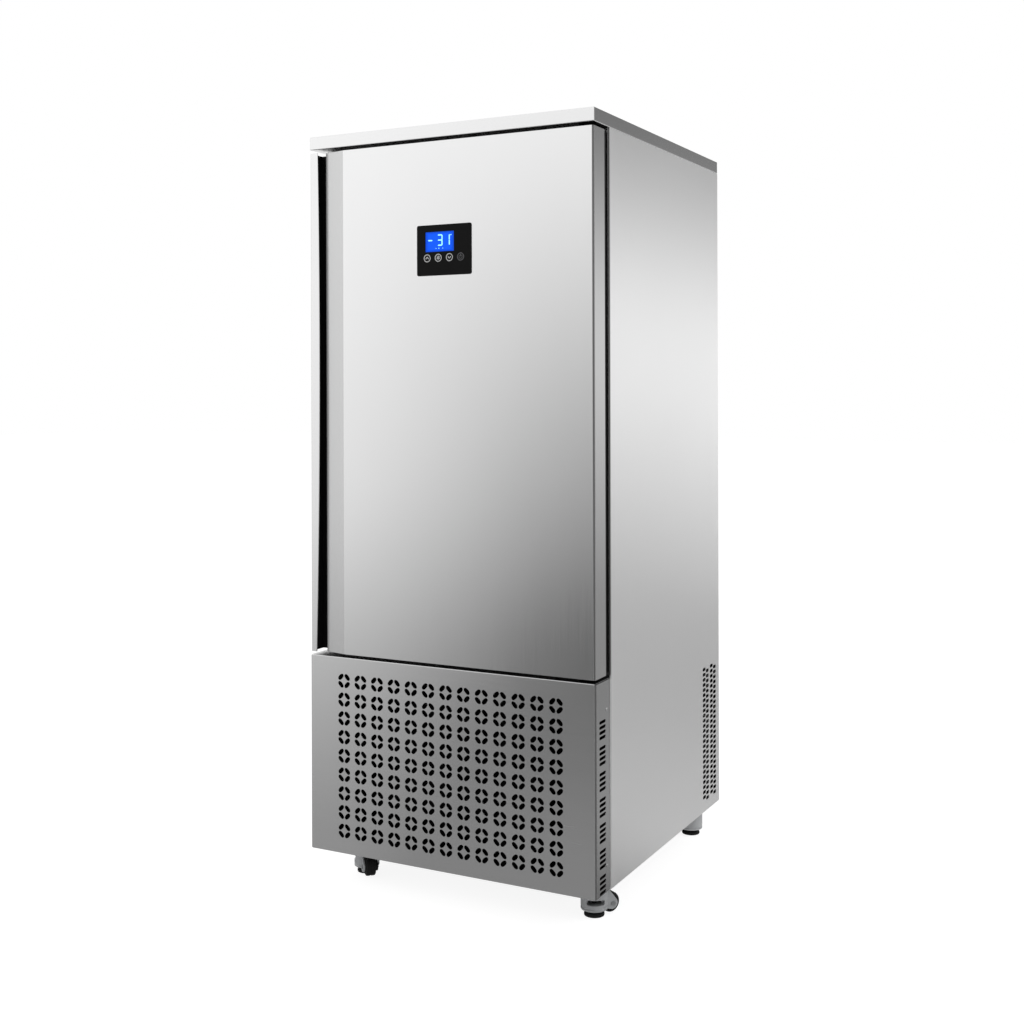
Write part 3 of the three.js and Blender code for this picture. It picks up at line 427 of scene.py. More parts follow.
def rounded(points, radius, steps):
    """A closed outline of (a, b) points, each corner turned into an arc. radius is one for all the
    corners, or a tuple with one for each."""
    result = []
    count = len(points)
    radii = radius if isinstance(radius, tuple) else [radius] * count
    for k, point in enumerate(points):
        here = Vector(point)
        back = Vector(points[k - 1]) - here
        ahead = Vector(points[(k + 1) % count]) - here
        angle = back.angle(ahead)
        r = radii[k]
        reach = r / math.tan(angle / 2) if r > 0 else 0
        reach = min(reach, back.length * 0.49, ahead.length * 0.49)
        if reach < 1e-6:
            result.append(here)
            continue
        start = here + back.normalized() * reach
        end = here + ahead.normalized() * reach
        middle = (start + end) / 2
        r = reach * math.tan(angle / 2)
        centre = here + (middle - here).normalized() * (r / math.sin(angle / 2))
        a0 = math.atan2(*(start - centre).yx)
        sweep = math.atan2(*(end - centre).yx) - a0
        sweep = (sweep + math.pi) % (2 * math.pi) - math.pi
        for i in range(steps + 1):
            a = a0 + sweep * i / steps
            result.append(centre + Vector((math.cos(a), math.sin(a))) * r)
    return result


def rectangle(a0, a1, b0, b1):
    return [(a0, b0), (a1, b0), (a1, b1), (a0, b1)]


def front_view(node, inset):
    """The rectangle of a node's box from the front, smaller by the inset on each side."""
    low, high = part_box(node)
    return rectangle(low.x + inset, high.x - inset, low.z + inset, high.z - inset)


def prism(bm, outline, low, high, place):
    """An outline of (a, b) points pushed from low to high; place(a, b, c) gives the point."""
    loft(bm, [[place(a, b, c) for a, b in outline] for c in (low, high)])


def along_x(a, b, c):
    return (c, a, b)


def along_y(a, b, c):
    return (a, c, b)


def along_z(a, b, c):
    return (a, b, c)


def filled(outline, holes):
    """A flat bmesh in the XY plane of an outline with holes, as triangles."""
    curve = bpy.data.curves.new("outline", "CURVE")
    curve.dimensions = "2D"
    curve.fill_mode = "BOTH"
    for loop in [outline, *holes]:
        spline = curve.splines.new("POLY")
        spline.points.add(len(loop) - 1)
        for point, (a, b) in zip(spline.points, loop):
            point.co = (a, b, 0, 1)
        spline.use_cyclic_u = True
    helper = put("outline", curve)
    graph = bpy.context.evaluated_depsgraph_get()
    mesh = bpy.data.meshes.new_from_object(helper.evaluated_get(graph))
    bm = bmesh.new()
    bm.from_mesh(mesh)
    bmesh.ops.remove_doubles(bm, verts=bm.verts, dist=1e-6)
    bpy.data.objects.remove(helper)
    bpy.data.curves.remove(curve)
    bpy.data.meshes.remove(mesh)
    return bm


def cut_lines(bm, axis, values):
    """Splits a flat bmesh along lines at values of one axis."""
    normal = Vector((1 - axis, axis, 0))
    for value in values:
        geometry = bm.verts[:] + bm.edges[:] + bm.faces[:]
        bmesh.ops.bisect_plane(bm, geom=geometry, dist=1e-7, plane_co=normal * value, plane_no=normal)


def thick(flat, place, thickness):
    """A closed sheet from a flat bmesh: place(a, b, depth) gives the point at a depth below the face."""
    bm = bmesh.new()
    outer = {v: bm.verts.new(place(v.co.x, v.co.y, 0.0)) for v in flat.verts}
    inner = {v: bm.verts.new(place(v.co.x, v.co.y, thickness)) for v in flat.verts}
    for face in flat.faces:
        bm.faces.new([outer[v] for v in face.verts])
        bm.faces.new([inner[v] for v in reversed(face.verts)])
    for edge in flat.edges:
        if len(edge.link_faces) == 1:
            a, b = edge.verts
            bm.faces.new((outer[a], outer[b], inner[b], inner[a]))
    flat.free()
    return bm


class Fold:
    """A sheet's path in section: flat up to start, then a bend by a quarter turn, then flat again.
    at(s, depth) gives (forward, down) for a distance s along the outer face."""

    def __init__(self, start):
        self.start = start
        self.end = start + BEND * math.pi / 2

    def lines(self):
        return [self.start + (self.end - self.start) * k / BEND_STEPS for k in range(BEND_STEPS + 1)]

    def at(self, s, depth):
        if s <= self.start:
            return s, depth
        if s <= self.end:
            turn = (s - self.start) / BEND
            r = BEND - depth
            return self.start + r * math.sin(turn), BEND - r * math.cos(turn)
        return self.start + BEND - depth, BEND + (s - self.end)


# --- shells ---
def obround(a, b, length, height, steps=5):
    """A slot with round ends, centred on (a, b)."""
    r = height / 2
    run = length / 2 - r
    points = []
    for side, start in ((1, -90), (-1, 90)):
        for k in range(steps + 1):
            t = math.radians(start + 180 * k / steps)
            points.append((a + side * run + r * math.cos(t), b + r * math.sin(t)))
    return points


# The lower panel's punching: places are from its lower edge, and the returns' from its front.
ROSETTE_COLUMNS, ROSETTE_ROWS = 13, 9
ROSETTE_PITCH_X, ROSETTE_PITCH_Z = 49.7 * MM, 47.6 * MM
ROSETTE_FIRST = 57.5 * MM
PETAL_MIDDLE, PETAL_HALF, PETAL_REACH = 13.5 * MM, 5.7 * MM, 9.8 * MM
PETAL_ROUNDNESS = 2 / 2.3
SLOT_GROUPS, SLOTS_IN_GROUP = 7, 4
SLOT_FIRST, SLOT_GROUP_PITCH, SLOT_PITCH = 8 * MM, 60 * MM, 12 * MM
SLOT_BACK = 37.5 * MM
SLOT_SIZE = (36 * MM, 7.4 * MM)
SCREW_HEIGHTS = (63 * MM, 428 * MM)
SCREW_BACK = 61 * MM
SCREW_HOLE = (4.7 * MM, 4.6 * MM)
LOWER_FLANGE = 80 * MM

# The right panel's vents: columns from the door's front, rows from the panel's lower edge.
VENT_COLUMNS = (751 * MM, 811 * MM)
VENT_RANKS_APART = 26 * MM
VENT_ROWS = 26
VENT_FIRST, VENT_PITCH = 33.5 * MM, 14.2 * MM
VENT_SIZE = (24 * MM, 9.5 * MM)
EDGE_ROUND = 1.1 * MM
TOP_FLANGE = 83.2 * MM


def petal(x, z, turn):
    """One petal of a rosette: a full lens shape across its diagonal."""
    outline = []
    for c, s in circle(0, 0, 1, 20):
        a = PETAL_MIDDLE + PETAL_HALF * math.copysign(abs(c) ** PETAL_ROUNDNESS, c)
        b = PETAL_REACH * math.copysign(abs(s) ** PETAL_ROUNDNESS, s)
        outline.append((a, b))
    c, s = math.cos(turn), math.sin(turn)
    return [(x + a * c - b * s, z + a * s + b * c) for a, b in outline]


def lower_punching(bottom, side_end):
    """The outlines of the lower panel's holes on its flat sheet. side_end is the side fold's end."""
    holes = []
    for column in range(ROSETTE_COLUMNS):
        for row in range(ROSETTE_ROWS):
            x = (column - (ROSETTE_COLUMNS - 1) / 2) * ROSETTE_PITCH_X
            z = bottom + ROSETTE_FIRST + row * ROSETTE_PITCH_Z
            holes += [petal(x, z, math.radians(45 + 90 * quarter)) for quarter in range(4)]
    for sign in (-1, 1):
        for group in range(SLOT_GROUPS):
            for slot in range(SLOTS_IN_GROUP):
                z = bottom + SLOT_FIRST + group * SLOT_GROUP_PITCH + slot * SLOT_PITCH
                holes.append(obround(sign * (side_end + SLOT_BACK - BEND), z, *SLOT_SIZE))
        for height in SCREW_HEIGHTS:
            holes.append(obround(sign * (side_end + SCREW_BACK - BEND), bottom + height, *SCREW_HOLE))
    return holes


def lower_front():
    """The lower front panel: one punched sheet folded back on all four sides."""
    low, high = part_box("lower_front_panel")
    middle = (low.z + high.z) / 2
    half_x, half_z = high.x, (high.z - low.z) / 2
    depth = high.y - low.y
    side = Fold(half_x - BEND)
    rise = Fold(half_z - BEND)
    side_run = side.end + depth - BEND
    top_run = rise.end + depth - BEND
    bottom_run = rise.end + LOWER_FLANGE - BEND
    x, z = side.start, rise.start
    outline = [
        (-side_run, -z), (-x, -z), (-x, -bottom_run), (x, -bottom_run), (x, -z), (side_run, -z),
        (side_run, z), (x, z), (x, top_run), (-x, top_run), (-x, z), (-side_run, z),
    ]
    flat = filled(outline, lower_punching(-half_z, side.end))
    cut_lines(flat, 0, [sign * v for v in side.lines() for sign in (-1, 1)])
    cut_lines(flat, 1, [sign * v for v in rise.lines() for sign in (-1, 1)])

    def place(u, v, t):
        if abs(u) > side.start:
            x, y = side.at(abs(u), t)
            return (math.copysign(x, u), low.y + y, middle + v)
        z, y = rise.at(abs(v), t)
        return (u, low.y + y, middle + math.copysign(z, v))

    piece = finish_mesh("lower_front_sheet", thick(flat, place, SHEET), lower_steel)
    dress("lower_front_panel", piece)


def vents(low):
    """The outlines of the right panel's vents, in staggered ranks."""
    holes = []
    for column in VENT_COLUMNS:
        for row in range(VENT_ROWS):
            for rank in (0, 1):
                y = FRONT + column + (rank - 0.5) * VENT_RANKS_APART
                z = low.z + VENT_FIRST + (row + (1 - rank) / 2) * VENT_PITCH
                holes.append(obround(y, z, *VENT_SIZE))
    return holes


def side_sheet(hand, sign, vented):
    """A side panel: flat, with its front edge rounded over, and its vents if it has them."""
    low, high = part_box("side_panel_" + hand)
    outer = max(abs(low.x), abs(high.x))
    flat = filled(rectangle(low.y, high.y, low.z, high.z), vents(low) if vented else [])
    cut_lines(flat, 0, [low.y + EDGE_ROUND * k / 4 for k in range(1, 5)])

    def place(u, v, t):
        ahead = max(0.0, EDGE_ROUND - (u - low.y))
        drop = EDGE_ROUND - math.sqrt(max(EDGE_ROUND**2 - ahead**2, 0))
        return (sign * (outer - max(t, drop)), u, v)

    piece = finish_mesh("side_sheet_" + hand, thick(flat, place, SHEET), satin_steel)
    dress("side_panel_" + hand, piece)


def rounded_box(bm, low, high, radius, steps=4):
    """A box with all its edges rounded, lofted along Z."""
    levels = []
    for k in range(steps + 1):
        turn = (math.pi / 2) * (k / steps)
        levels.append((low.z + radius * (1 - math.sin(turn)), radius * (1 - math.cos(turn))))
    profile = levels[::-1]
    profile += [(high.z - (z - low.z), inset) for z, inset in levels]
    loops = []
    for z, inset in profile:
        corner = max(radius - inset, radius * 0.05)
        outline = rounded(
            rectangle(low.x + inset, high.x - inset, low.y + inset, high.y - inset), corner, steps
        )
        loops.append([(a, b, z) for a, b in outline])
    loft(bm, loops)


def top_sheet():
    """The top panel: a folded tray with rounded edges, open underneath behind its front flange."""
    low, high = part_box("top_panel")
    bm = bmesh.new()
    rounded_box(bm, low, high, BEND)
    piece = finish_mesh("top_sheet", bm, top_steel)
    sheet = Vector((SHEET, SHEET, SHEET))
    hollow = block(low + sheet, high - sheet)
    mouth = block(low + Vector((SHEET, TOP_FLANGE, -CUT)), high - sheet)
    carve(piece, hollow, mouth)
    dress("top_panel", piece)


def rear_louvres():
    """Pressed hoods over the slots of the rear grille."""
    low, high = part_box("rear_grille")
    slot, slot_high, pitch, margin = 250 * MM, 8 * MM, 40 * MM, 50 * MM
    reach, wall, below, above, past, root = 6 * MM, 0.9 * MM, 2 * MM, 3 * MM, 8 * MM, 0.3 * MM
    tall = below + slot_high + above
    arc = [math.radians(15 * k) for k in range(7)]
    bm = bmesh.new()
    for row in range(int((high.z - low.z - 2 * margin) / pitch + 1e-6)):
        base = low.z + margin + row * pitch - below
        for side in (-1, 1):
            middle = side * (slot + pitch) / 2
            rings = []
            for k in range(17):
                share = k / 8 - 1
                out = wall + 0.1 * MM + (reach - wall) * (1 - share**6)
                x = middle + share * (slot / 2 + past)
                shells = [(out, tall, arc), (out - wall, tall - wall, arc[::-1])]
                rings.append([
                    (x, high.y - root + y * math.sin(t), base + z * math.cos(t))
                    for y, z, turns in shells
                    for t in turns
                ])
            loft(bm, rings)
    add_to("rear_grille", finish_mesh("rear_louvres", bm, zinc, smooth_angle=40))


# --- door ---
# Plan sizes from the door's left edge and its front.
DOOR_DEPTH = 63 * MM
DOOR_ROWS = 28
CHANNEL_FOLD = 101 * MM  # where the front face turns into the ramp
RAMP_X, RAMP_Y = 63 * MM, 14 * MM  # the ramp's width and fall
CHANNEL_CORNER = 29 * MM
CHANNEL_DEPTH = 50 * MM
LIP_WIDTH = 26.6 * MM  # at mid height
LIP_BOW, LIP_LEAN = 7.3 * MM, 3 * MM  # less at both ends, and more upwards
PIN_ROOM = 4.4 * MM
POCKET_INSET = 5.7 * MM


def channel_side(offset):
    """Corners and radii of the channel's ramp and side, from the fold to the flat back."""
    fold, front = LEFT + CHANNEL_FOLD + offset, FRONT + offset
    return [
        ((fold, front), 0.5 * MM if offset else 1.4 * MM),
        ((fold - RAMP_X, front + RAMP_Y), 5 * MM),
        ((LEFT + CHANNEL_CORNER + offset, front + CHANNEL_DEPTH), 12 * MM),
    ]


def plan(corners):
    """An outline of (point, radius) corners."""
    points, radii = zip(*corners)
    return rounded(points, radii, 7)


def door_profile(share):
    """The door's outline in plan at a share of its height, from the rear right corner round the front."""
    lip = LEFT + LIP_WIDTH - LIP_BOW * (2 * share - 1) ** 2 + LIP_LEAN * (2 * share - 1)
    wall, hem, rear = LEFT + SHEET, FRONT + 2 * SHEET, FRONT + DOOR_DEPTH
    return plan([
        ((-LEFT, rear), 0),
        ((-LEFT, FRONT), BEND),
        *channel_side(0),
        ((wall, FRONT + CHANNEL_DEPTH), 0),
        ((wall, hem), 0),
        ((lip, hem), SHEET * 0.98),
        ((lip, FRONT), SHEET * 0.98),
        ((LEFT, FRONT), BEND),
        ((LEFT, rear), 0),
    ])


def door_room():
    """The outline of the space inside the skin behind the channel."""
    left, rear = LEFT + SHEET, FRONT + DOOR_DEPTH
    return plan([
        ((-left, rear), 0),
        ((-left, FRONT + SHEET), 0.8 * MM),
        *channel_side(SHEET),
        ((left, FRONT + CHANNEL_DEPTH + SHEET), 0),
        ((left, rear), 0),
    ])


def door_cuts(low, high):
    """The control unit's pocket and the two pin holes."""
    cuts = bmesh.new()
    prism(cuts, front_view("control_bezel", POCKET_INSET), FRONT - CUT, FRONT + CUT, along_y)
    pin = joint_place("door_hinge")
    for end in (low.z, high.z):
        prism(cuts, circle(pin.x, pin.y, PIN_ROOM, 24), end - CUT, end + CUT, along_z)
    return cuts


def door_skin():
    """The door's outer sheet: a tray open at the rear, folded at the left into the finger channel."""
    low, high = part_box("door_skin")
    shares = [k / DOOR_ROWS for k in range(DOOR_ROWS + 1)]
    heights = [low.z + (high.z - low.z) * share for share in shares]
    inside = [min(max(z, low.z + SHEET), high.z - SHEET) for z in heights]
    room_plan = door_room()
    bm = bmesh.new()
    outer = [[bm.verts.new((a, b, z)) for a, b in door_profile(k)] for k, z in zip(shares, heights)]
    inner = [[bm.verts.new((a, b, z)) for a, b in room_plan] for z in inside]
    for rings in (outer, inner):
        for a, b in zip(rings, rings[1:]):
            for k in range(len(a) - 1):
                bm.faces.new((a[k], a[k + 1], b[k + 1], b[k]))
    for a, b, c, d in zip(outer, outer[1:], inner, inner[1:]):
        bm.faces.new((a[0], b[0], d[0], c[0]))
        bm.faces.new((a[-1], c[-1], d[-1], b[-1]))
    for rim, room in ((outer[0], inner[0]), (outer[-1], inner[-1])):
        bm.faces.new(rim)
        bm.faces.new(room)
        bm.faces.new((rim[0], rim[-1], room[-1], room[0]))
    bmesh.ops.triangulate(bm, faces=[f for f in bm.faces if len(f.verts) > 4])
    piece = finish_mesh("door_sheet", bm, door_steel, smooth_angle=32)
    carve(piece, door_cuts(low, high))
    weighted(piece)
    dress("door_skin", piece)


def framed(bm, section, x, z0, z1):
    """Sweeps a section of (inset, y) points round a rectangle with mitred corners."""
    rows = []
    for sign, top in ((-1, False), (1, False), (1, True), (-1, True)):
        ring = [(sign * (x - inset), y, z1 - inset if top else z0 + inset) for inset, y in section]
        rows.append([bm.verts.new(p) for p in ring])
    for k in range(4):
        join_rings(bm, rows[k], rows[(k + 1) % 4])


def door_seal():
    """The magnetic seal: a foot in the door, folded bellows and a round cushion with a lip."""
    low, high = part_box("door_gasket")
    depth = (high.y - low.y) / MM
    outline = [
        (0, 0), (24, 0), (24, 3.4), (20, 5), (18, 6.4), (20, 7.9), (18, 9.4), (21, 11), (22, 13.6),
        (21, depth - 1.2), (18.6, depth), (11.4, depth), (9, depth - 1.2), (8, 13.6), (9, 11),
        (12, 9.4), (10, 7.9), (12, 6.4), (9, 5), (2.6, 4.4), (1.9, 12.6), (0.5, 12.6), (0, 6),
    ]
    section = [(inset, low.y + y) for inset, y in rounded(in_mm(outline), 0.6 * MM, 2)]
    bm = bmesh.new()
    framed(bm, section, high.x, low.z, high.z)
    dress("door_gasket", finish_mesh("door_seal", bm, seal_rubber, smooth_angle=50))


def panel_screws():
    """Pan-head screws with a cross recess in the lower panel's returns."""
    profile = [(0, -6), (1.9, -6), (1.9, 0), (4, 0), (4, 0.5), (3.4, 1.1), (2.2, 1.5), (0, 1.7)]
    half_cross = [(1.9, -0.4), (1.9, 0.4), (0.4, 0.4), (0.4, 1.9), (-0.4, 1.9), (-0.4, 0.4)]
    cross = in_mm(half_cross + [(-a, -b) for a, b in half_cross])
    recess_floor = 0.5 * MM
    for level in ("lower", "upper"):
        for sign, hand in ((1, "right"), (-1, "left")):
            node = "panel_screw_%s_%s" % (level, hand)
            low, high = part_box(node)
            seat = sign * BODY_RIGHT
            centre = Vector((seat, (low.y + high.y) / 2, (low.z + high.z) / 2))
            bm = bmesh.new()
            tilt = Matrix.Rotation(math.radians(90 * sign), 4, "Y")
            lathe(bm, in_mm(profile), 32, Matrix.Translation(centre) @ tilt)
            head = finish_mesh("screw_%s_%s" % (level, hand), bm, screw_steel)
            recess = bmesh.new()
            outline = [(centre.y + a, centre.z + b) for a, b in cross]
            prism(recess, outline, seat + sign * recess_floor, seat + sign * CUT, along_x)
            carve(head, recess)
            dress(node, head)


# --- casters ---
# In the caster's own frame: the swivel's axis is at 0, and the wheel trails along +X.
# These are in mm.
TRAIL, AXLE_HEIGHT = 42, 26
WELL_RADIUS = 26
ARM_RADIUS = 13.5
ARM_SIDE, ARM_FACE, WELL_END = -20, -15, 22  # from the caster's middle plane


def joint_place(name):
    """A joint's place in plan."""
    joint = next(j for j in frame["joints"] if j["name"] == name)
    return Vector((joint["pos_m"][0], joint["pos_m"][1], 0))


def caster_places():
    """Each caster's name, and the matrix that stands it in its place with its wheel trailing."""
    for joint in frame["joints"]:
        if joint["name"].startswith("swivel_"):
            name = joint["name"].removeprefix("swivel_")
            centre = joint_place(joint["name"])
            offset = joint_place("wheel_spin_" + name) - centre
            turn = math.atan2(offset.y, offset.x)
            yield name, Matrix.Translation(centre) @ Matrix.Rotation(turn, 4, "Z")


def caster_arm():
    """One round wheel arm, eased at its outer side."""
    ease, nose_start = 1.2, 30
    turns = [math.radians(-110 + 10 * k) for k in range(17)]
    nose = [(TRAIL + ARM_RADIUS * math.cos(t), AXLE_HEIGHT + ARM_RADIUS * math.sin(t)) for t in turns]
    outline = [(0, 17), (24, 17)] + nose + [(32, 60), (26, 72), (0, 76)]
    eased = [(a - (ease if a > nose_start else 0), b) for a, b in outline]
    levels = ((ARM_SIDE, eased), (ARM_SIDE + ease, outline), (ARM_FACE, outline))
    bm = bmesh.new()
    loft(bm, [[(a, y * MM, b) for a, b in in_mm(ring)] for y, ring in levels])
    return bm


def caster_housing(name, stand):
    """The cast housing: a turned drum with rings and a curved slot, and one round wheel arm."""
    bm = bmesh.new()
    profile = [
        (0, 16), (30.2, 16), (32.2, 16.6), (33, 18), (33, 21), (31.6, 22), (31.6, 24), (33, 25),
        (33, 76.5), (32, 79), (29, 80), (27.2, 80.6), (26, 82), (26, 92.6), (25, 93.6), (0, 93.6),
    ]
    lathe(bm, in_mm(profile), 64)
    piece = finish_mesh("caster_housing_" + name, bm, cast, smooth_angle=35)
    well = bmesh.new()
    well_outline = in_mm(circle(TRAIL, AXLE_HEIGHT, WELL_RADIUS, 40))
    prism(well, well_outline, ARM_FACE * MM, WELL_END * MM, along_y)
    slot = bmesh.new()
    opening = rounded(in_mm(rectangle(-22, 22, 32, 45)), 5 * MM, 4)
    prism(slot, opening, -45 * MM, -8 * MM, along_x)
    bmesh.ops.transform(slot, matrix=Matrix.Rotation(math.radians(64), 4, "Z"), verts=slot.verts)
    cavity = bmesh.new()
    lathe(cavity, in_mm([(0, 30), (18, 30), (18, 48), (0, 48)]), 40)
    carve(piece, caster_arm(), operation="UNION")
    carve(piece, well, slot, cavity)
    piece.data.transform(stand)
    dress("caster_body_" + name, piece)


def caster_wheel(name, stand):
    """A tyre with rounded shoulders on a stepped hub."""
    bm = bmesh.new()
    profile = [
        (4.3, -20), (12, -20), (13, -19), (13, -14), (14, -13), (15, -12.2), (17.5, -13), (21, -12.6),
        (23.3, -11), (24, -8.5), (24, -2.2), (23.3, -1.6), (23.3, 1.6), (24, 2.2), (24, 8.5),
        (23.3, 11), (21, 12.6), (17.5, 13), (15, 12.2), (14, 11), (8, 12), (8, 13), (4.3, 13),
        (4.3, -20),
    ]
    axle = Matrix.Translation((TRAIL * MM, 0, AXLE_HEIGHT * MM)) @ Z_TO_FRONT
    rows = lathe(bm, in_mm(profile), 56, stand @ axle)
    bmesh.ops.remove_doubles(bm, verts=rows[0] + rows[-1], dist=1e-6)
    dress("caster_wheel_" + name, finish_mesh("caster_tyre_" + name, bm, rubber, smooth_angle=40))


def caster_foot(name, stand):
    """The levelling foot: a ribbed rubber pad, a screw and a knurled thumbwheel."""
    bm = bmesh.new()
    pad = [
        (0, 0), (22.6, 0), (24.4, 0.7), (25, 2.2), (25, 5.4), (24.2, 7), (22, 8.2), (18, 10),
        (9, 10.6), (6, 11.4), (6, 12), (0, 12),
    ]
    lathe(bm, in_mm(pad), 56)
    pitch, threads = 1.5, 40
    stem = [(0, 10)]
    for k in range(threads):
        height = 11 + k * pitch
        stem += [(5.2, height), (6, height + pitch / 2)]
    stem += [(5, 71.6), (0, 72)]
    lathe(bm, in_mm(stem), 20)
    knurls, wheel_radius, knurl_depth = 36, 17, 0.7
    rings = []
    for z, inset in ((38, 0.8), (38.7, 0), (43.3, 0), (44, 0.8)):
        ring = []
        for k in range(knurls * 2):
            t = math.pi * k / knurls
            r = (wheel_radius - inset - (knurl_depth if k % 2 else 0)) * MM
            ring.append((r * math.cos(t), r * math.sin(t), z * MM))
        rings.append(ring)
    loft(bm, rings)
    bmesh.ops.transform(bm, matrix=stand, verts=bm.verts)
    dress("caster_foot_" + name, finish_mesh("caster_pad_" + name, bm, rubber, smooth_angle=40))


# --- control unit ---
BEZEL_CORNER, LENS_CORNER = 5, 1.2  # mm
BEZEL_BODY_INSET = 6 * MM
KEY_ROOM, KEY_WELL = 0.35 * MM, 6 * MM
RAISED = 0.15 * MM  # how thick lit and printed marks are


def eased_plate(bm, node, levels, corner, steps, follow):
    """A plate over a node's front, whose rounded outline shrinks by levels of (y, inset in mm).
    Its corners are that radius in mm, and smaller by the inset where they follow it."""
    rings = []
    for y, inset in levels:
        radius = (corner - inset if follow else corner) * MM
        outline = rounded(front_view(node, inset * MM), radius, steps)
        rings.append([(a, y, b) for a, b in outline])
    loft(bm, rings)


def bezel():
    """The control unit's black bezel with rounded corners, a window recess and four key wells."""
    low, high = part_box("control_bezel")
    front = low.y
    bm = bmesh.new()
    rim = ((front + 2 * MM, 0), (front + 0.9 * MM, 0), (front + 0.35 * MM, 0.25), (front, 0.9))
    eased_plate(bm, "control_bezel", rim, BEZEL_CORNER, 6, follow=True)
    prism(bm, front_view("control_bezel", BEZEL_BODY_INSET), front + 1.9 * MM, high.y, along_y)
    piece = finish_mesh("control_face", bm, bezel_black, smooth_angle=30)
    cuts = bmesh.new()
    ahead = front - 2 * MM
    window = rounded(front_view("display_lens", -GAP), LENS_CORNER * MM, 4)
    prism(cuts, window, ahead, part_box("display_lens")[1].y + GAP, along_y)
    for k in range(4):
        x, z, radius = key_circle(k)
        prism(cuts, circle(x, z, radius + KEY_ROOM, 48), ahead, front + KEY_WELL, along_y)
    carve(piece, cuts)
    weighted(piece)
    dress("control_bezel", piece)


def key_circle(k):
    """A key's middle and radius, seen from the front."""
    low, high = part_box("button_%d" % (k + 1))
    return (low.x + high.x) / 2, (low.z + high.z) / 2, (high.x - low.x) / 2


SEGMENTS = {
    "a": ((0, 1), (1, 1)), "b": ((1, 1), (1, 0.5)), "c": ((1, 0.5), (1, 0)), "d": ((0, 0), (1, 0)),
    "e": ((0, 0), (0, 0.5)), "f": ((0, 0.5), (0, 1)), "g": ((0, 0.5), (1, 0.5)),
}
DIGITS = {"3": "abcdg", "1": "bc", "-": "g"}


def segment(bm, start, end, width, y):
    """One lit segment: a thin six-sided bar between two points of the display plane."""
    a, b = Vector(start), Vector(end)
    along = (b - a).normalized()
    side = Vector((-along.y, along.x)) * width / 2
    gap, tip = along * width * 0.35, along * width / 2
    a, b = a + gap, b - gap
    outline = [a - side, a - tip, a + side, b + side, b + tip, b - side]
    prism(bm, outline, y, y + RAISED, along_y)


def display():
    """The lit window: a blue plate with a raised frame, and plain seven-segment figures on it."""
    low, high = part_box("display_lens")
    bm = bmesh.new()
    rim = ((high.y, 0), (low.y + 0.5 * MM, 0), (low.y + 0.2 * MM, 0.4), (low.y + 0.2 * MM, 1.4))
    eased_plate(bm, "display_lens", rim, LENS_CORNER, 3, follow=False)
    dress("display_lens", finish_mesh("display_window", bm, screen_blue, smooth_angle=30))
    figures = bmesh.new()
    tall, wide, stroke = 25 * MM, 11.5 * MM, 3.2 * MM
    middle = (low.x + high.x) / 2
    base = (low.z + high.z) / 2 - 9 * MM
    face = low.y + 0.03 * MM
    for sign, x in (("-", -32 * MM), ("3", -4.5 * MM), ("1", 16 * MM)):
        for name in DIGITS[sign]:
            start, end = [(middle + x + a * wide, base + b * tall) for a, b in SEGMENTS[name]]
            segment(figures, start, end, stroke, face)
    for x, z, radius in ((-10, -7.5, 1.1), (-2, -7.5, 1.3), (9, -7.5, 1.1), (32, 24, 1.5)):
        dot = circle(middle + x * MM, base + z * MM, radius * MM, 16)
        prism(figures, dot, face, face + RAISED, along_y)
    add_to("display_lens", finish_mesh("display_figures", figures, digit_light))


def key_icon(bm, kind, x, z, y):
    """Plain symbols on the keys: up, snowflake bars, down and a power ring."""

    def bar(x0, z0, x1, z1, width=2.2 * MM):
        segment(bm, (x + x0 * MM, z + z0 * MM), (x + x1 * MM, z + z1 * MM), width, y)

    def hoop(radius, width, start=0, sweep=360, steps=40):
        turns = [math.radians(start + sweep * k / steps) for k in range(steps + 1)]
        outer, inner = [
            [(x + r * MM * math.cos(t), z + r * MM * math.sin(t)) for t in turns]
            for r in (radius, radius - width)
        ]
        for k in range(steps):
            quad = [outer[k], outer[k + 1], inner[k + 1], inner[k]]
            prism(bm, quad, y, y + RAISED, along_y)

    hoop(9.6, 1.9)
    if kind in (0, 2):
        up = 1 - kind
        for x0 in (-4, 4):
            bar(x0, -2 * up, 0, 3 * up)
    elif kind == 1:
        for k in range(3):
            t = math.radians(30 + 60 * k)
            bar(-5 * math.cos(t), -5 * math.sin(t), 5 * math.cos(t), 5 * math.sin(t))
    else:
        hoop(5, 1.2, start=120, sweep=300)
        bar(0, 0.5, 0, 6)


def keys():
    """Four round key caps with slightly dished faces and plain symbols."""
    for k in range(4):
        node = "button_%d" % (k + 1)
        low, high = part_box(node)
        x, z, r = key_circle(k)
        depth = high.y - low.y
        profile = [(0, 0), (r, 0), (r, depth - 0.6 * MM), (r - 0.25 * MM, depth - 0.2 * MM)]
        profile += [(r - 0.8 * MM, depth), (r * 0.6, depth - 0.1 * MM), (0, depth - 0.15 * MM)]
        bm = bmesh.new()
        lathe(bm, profile, 48, Matrix.Translation((x, high.y, z)) @ Z_TO_FRONT)
        dress(node, finish_mesh("key_cap_%d" % (k + 1), bm, key_black, smooth_angle=35))
        icon = bmesh.new()
        key_icon(icon, k, x, z, low.y - 0.1 * MM)
        add_to(node, finish_mesh("key_symbol_%d" % (k + 1), icon, icon_dark if k == 3 else icon_grey))


# --- carried-over nodes ---
def refine(piece):
    """Keeps a CAD node's shape, with its edges eased by a small bevel."""
    piece.modifiers.new("weld", "WELD").merge_threshold = 0.02 * MM
    planar = piece.modifiers.new("planar", "DECIMATE")
    planar.decimate_type = "DISSOLVE"
    planar.angle_limit = math.radians(0.5)
    edge = piece.modifiers.new("edge", "BEVEL")
    edge.width = 0.3 * MM
    edge.segments = 2
    edge.angle_limit = math.radians(40)


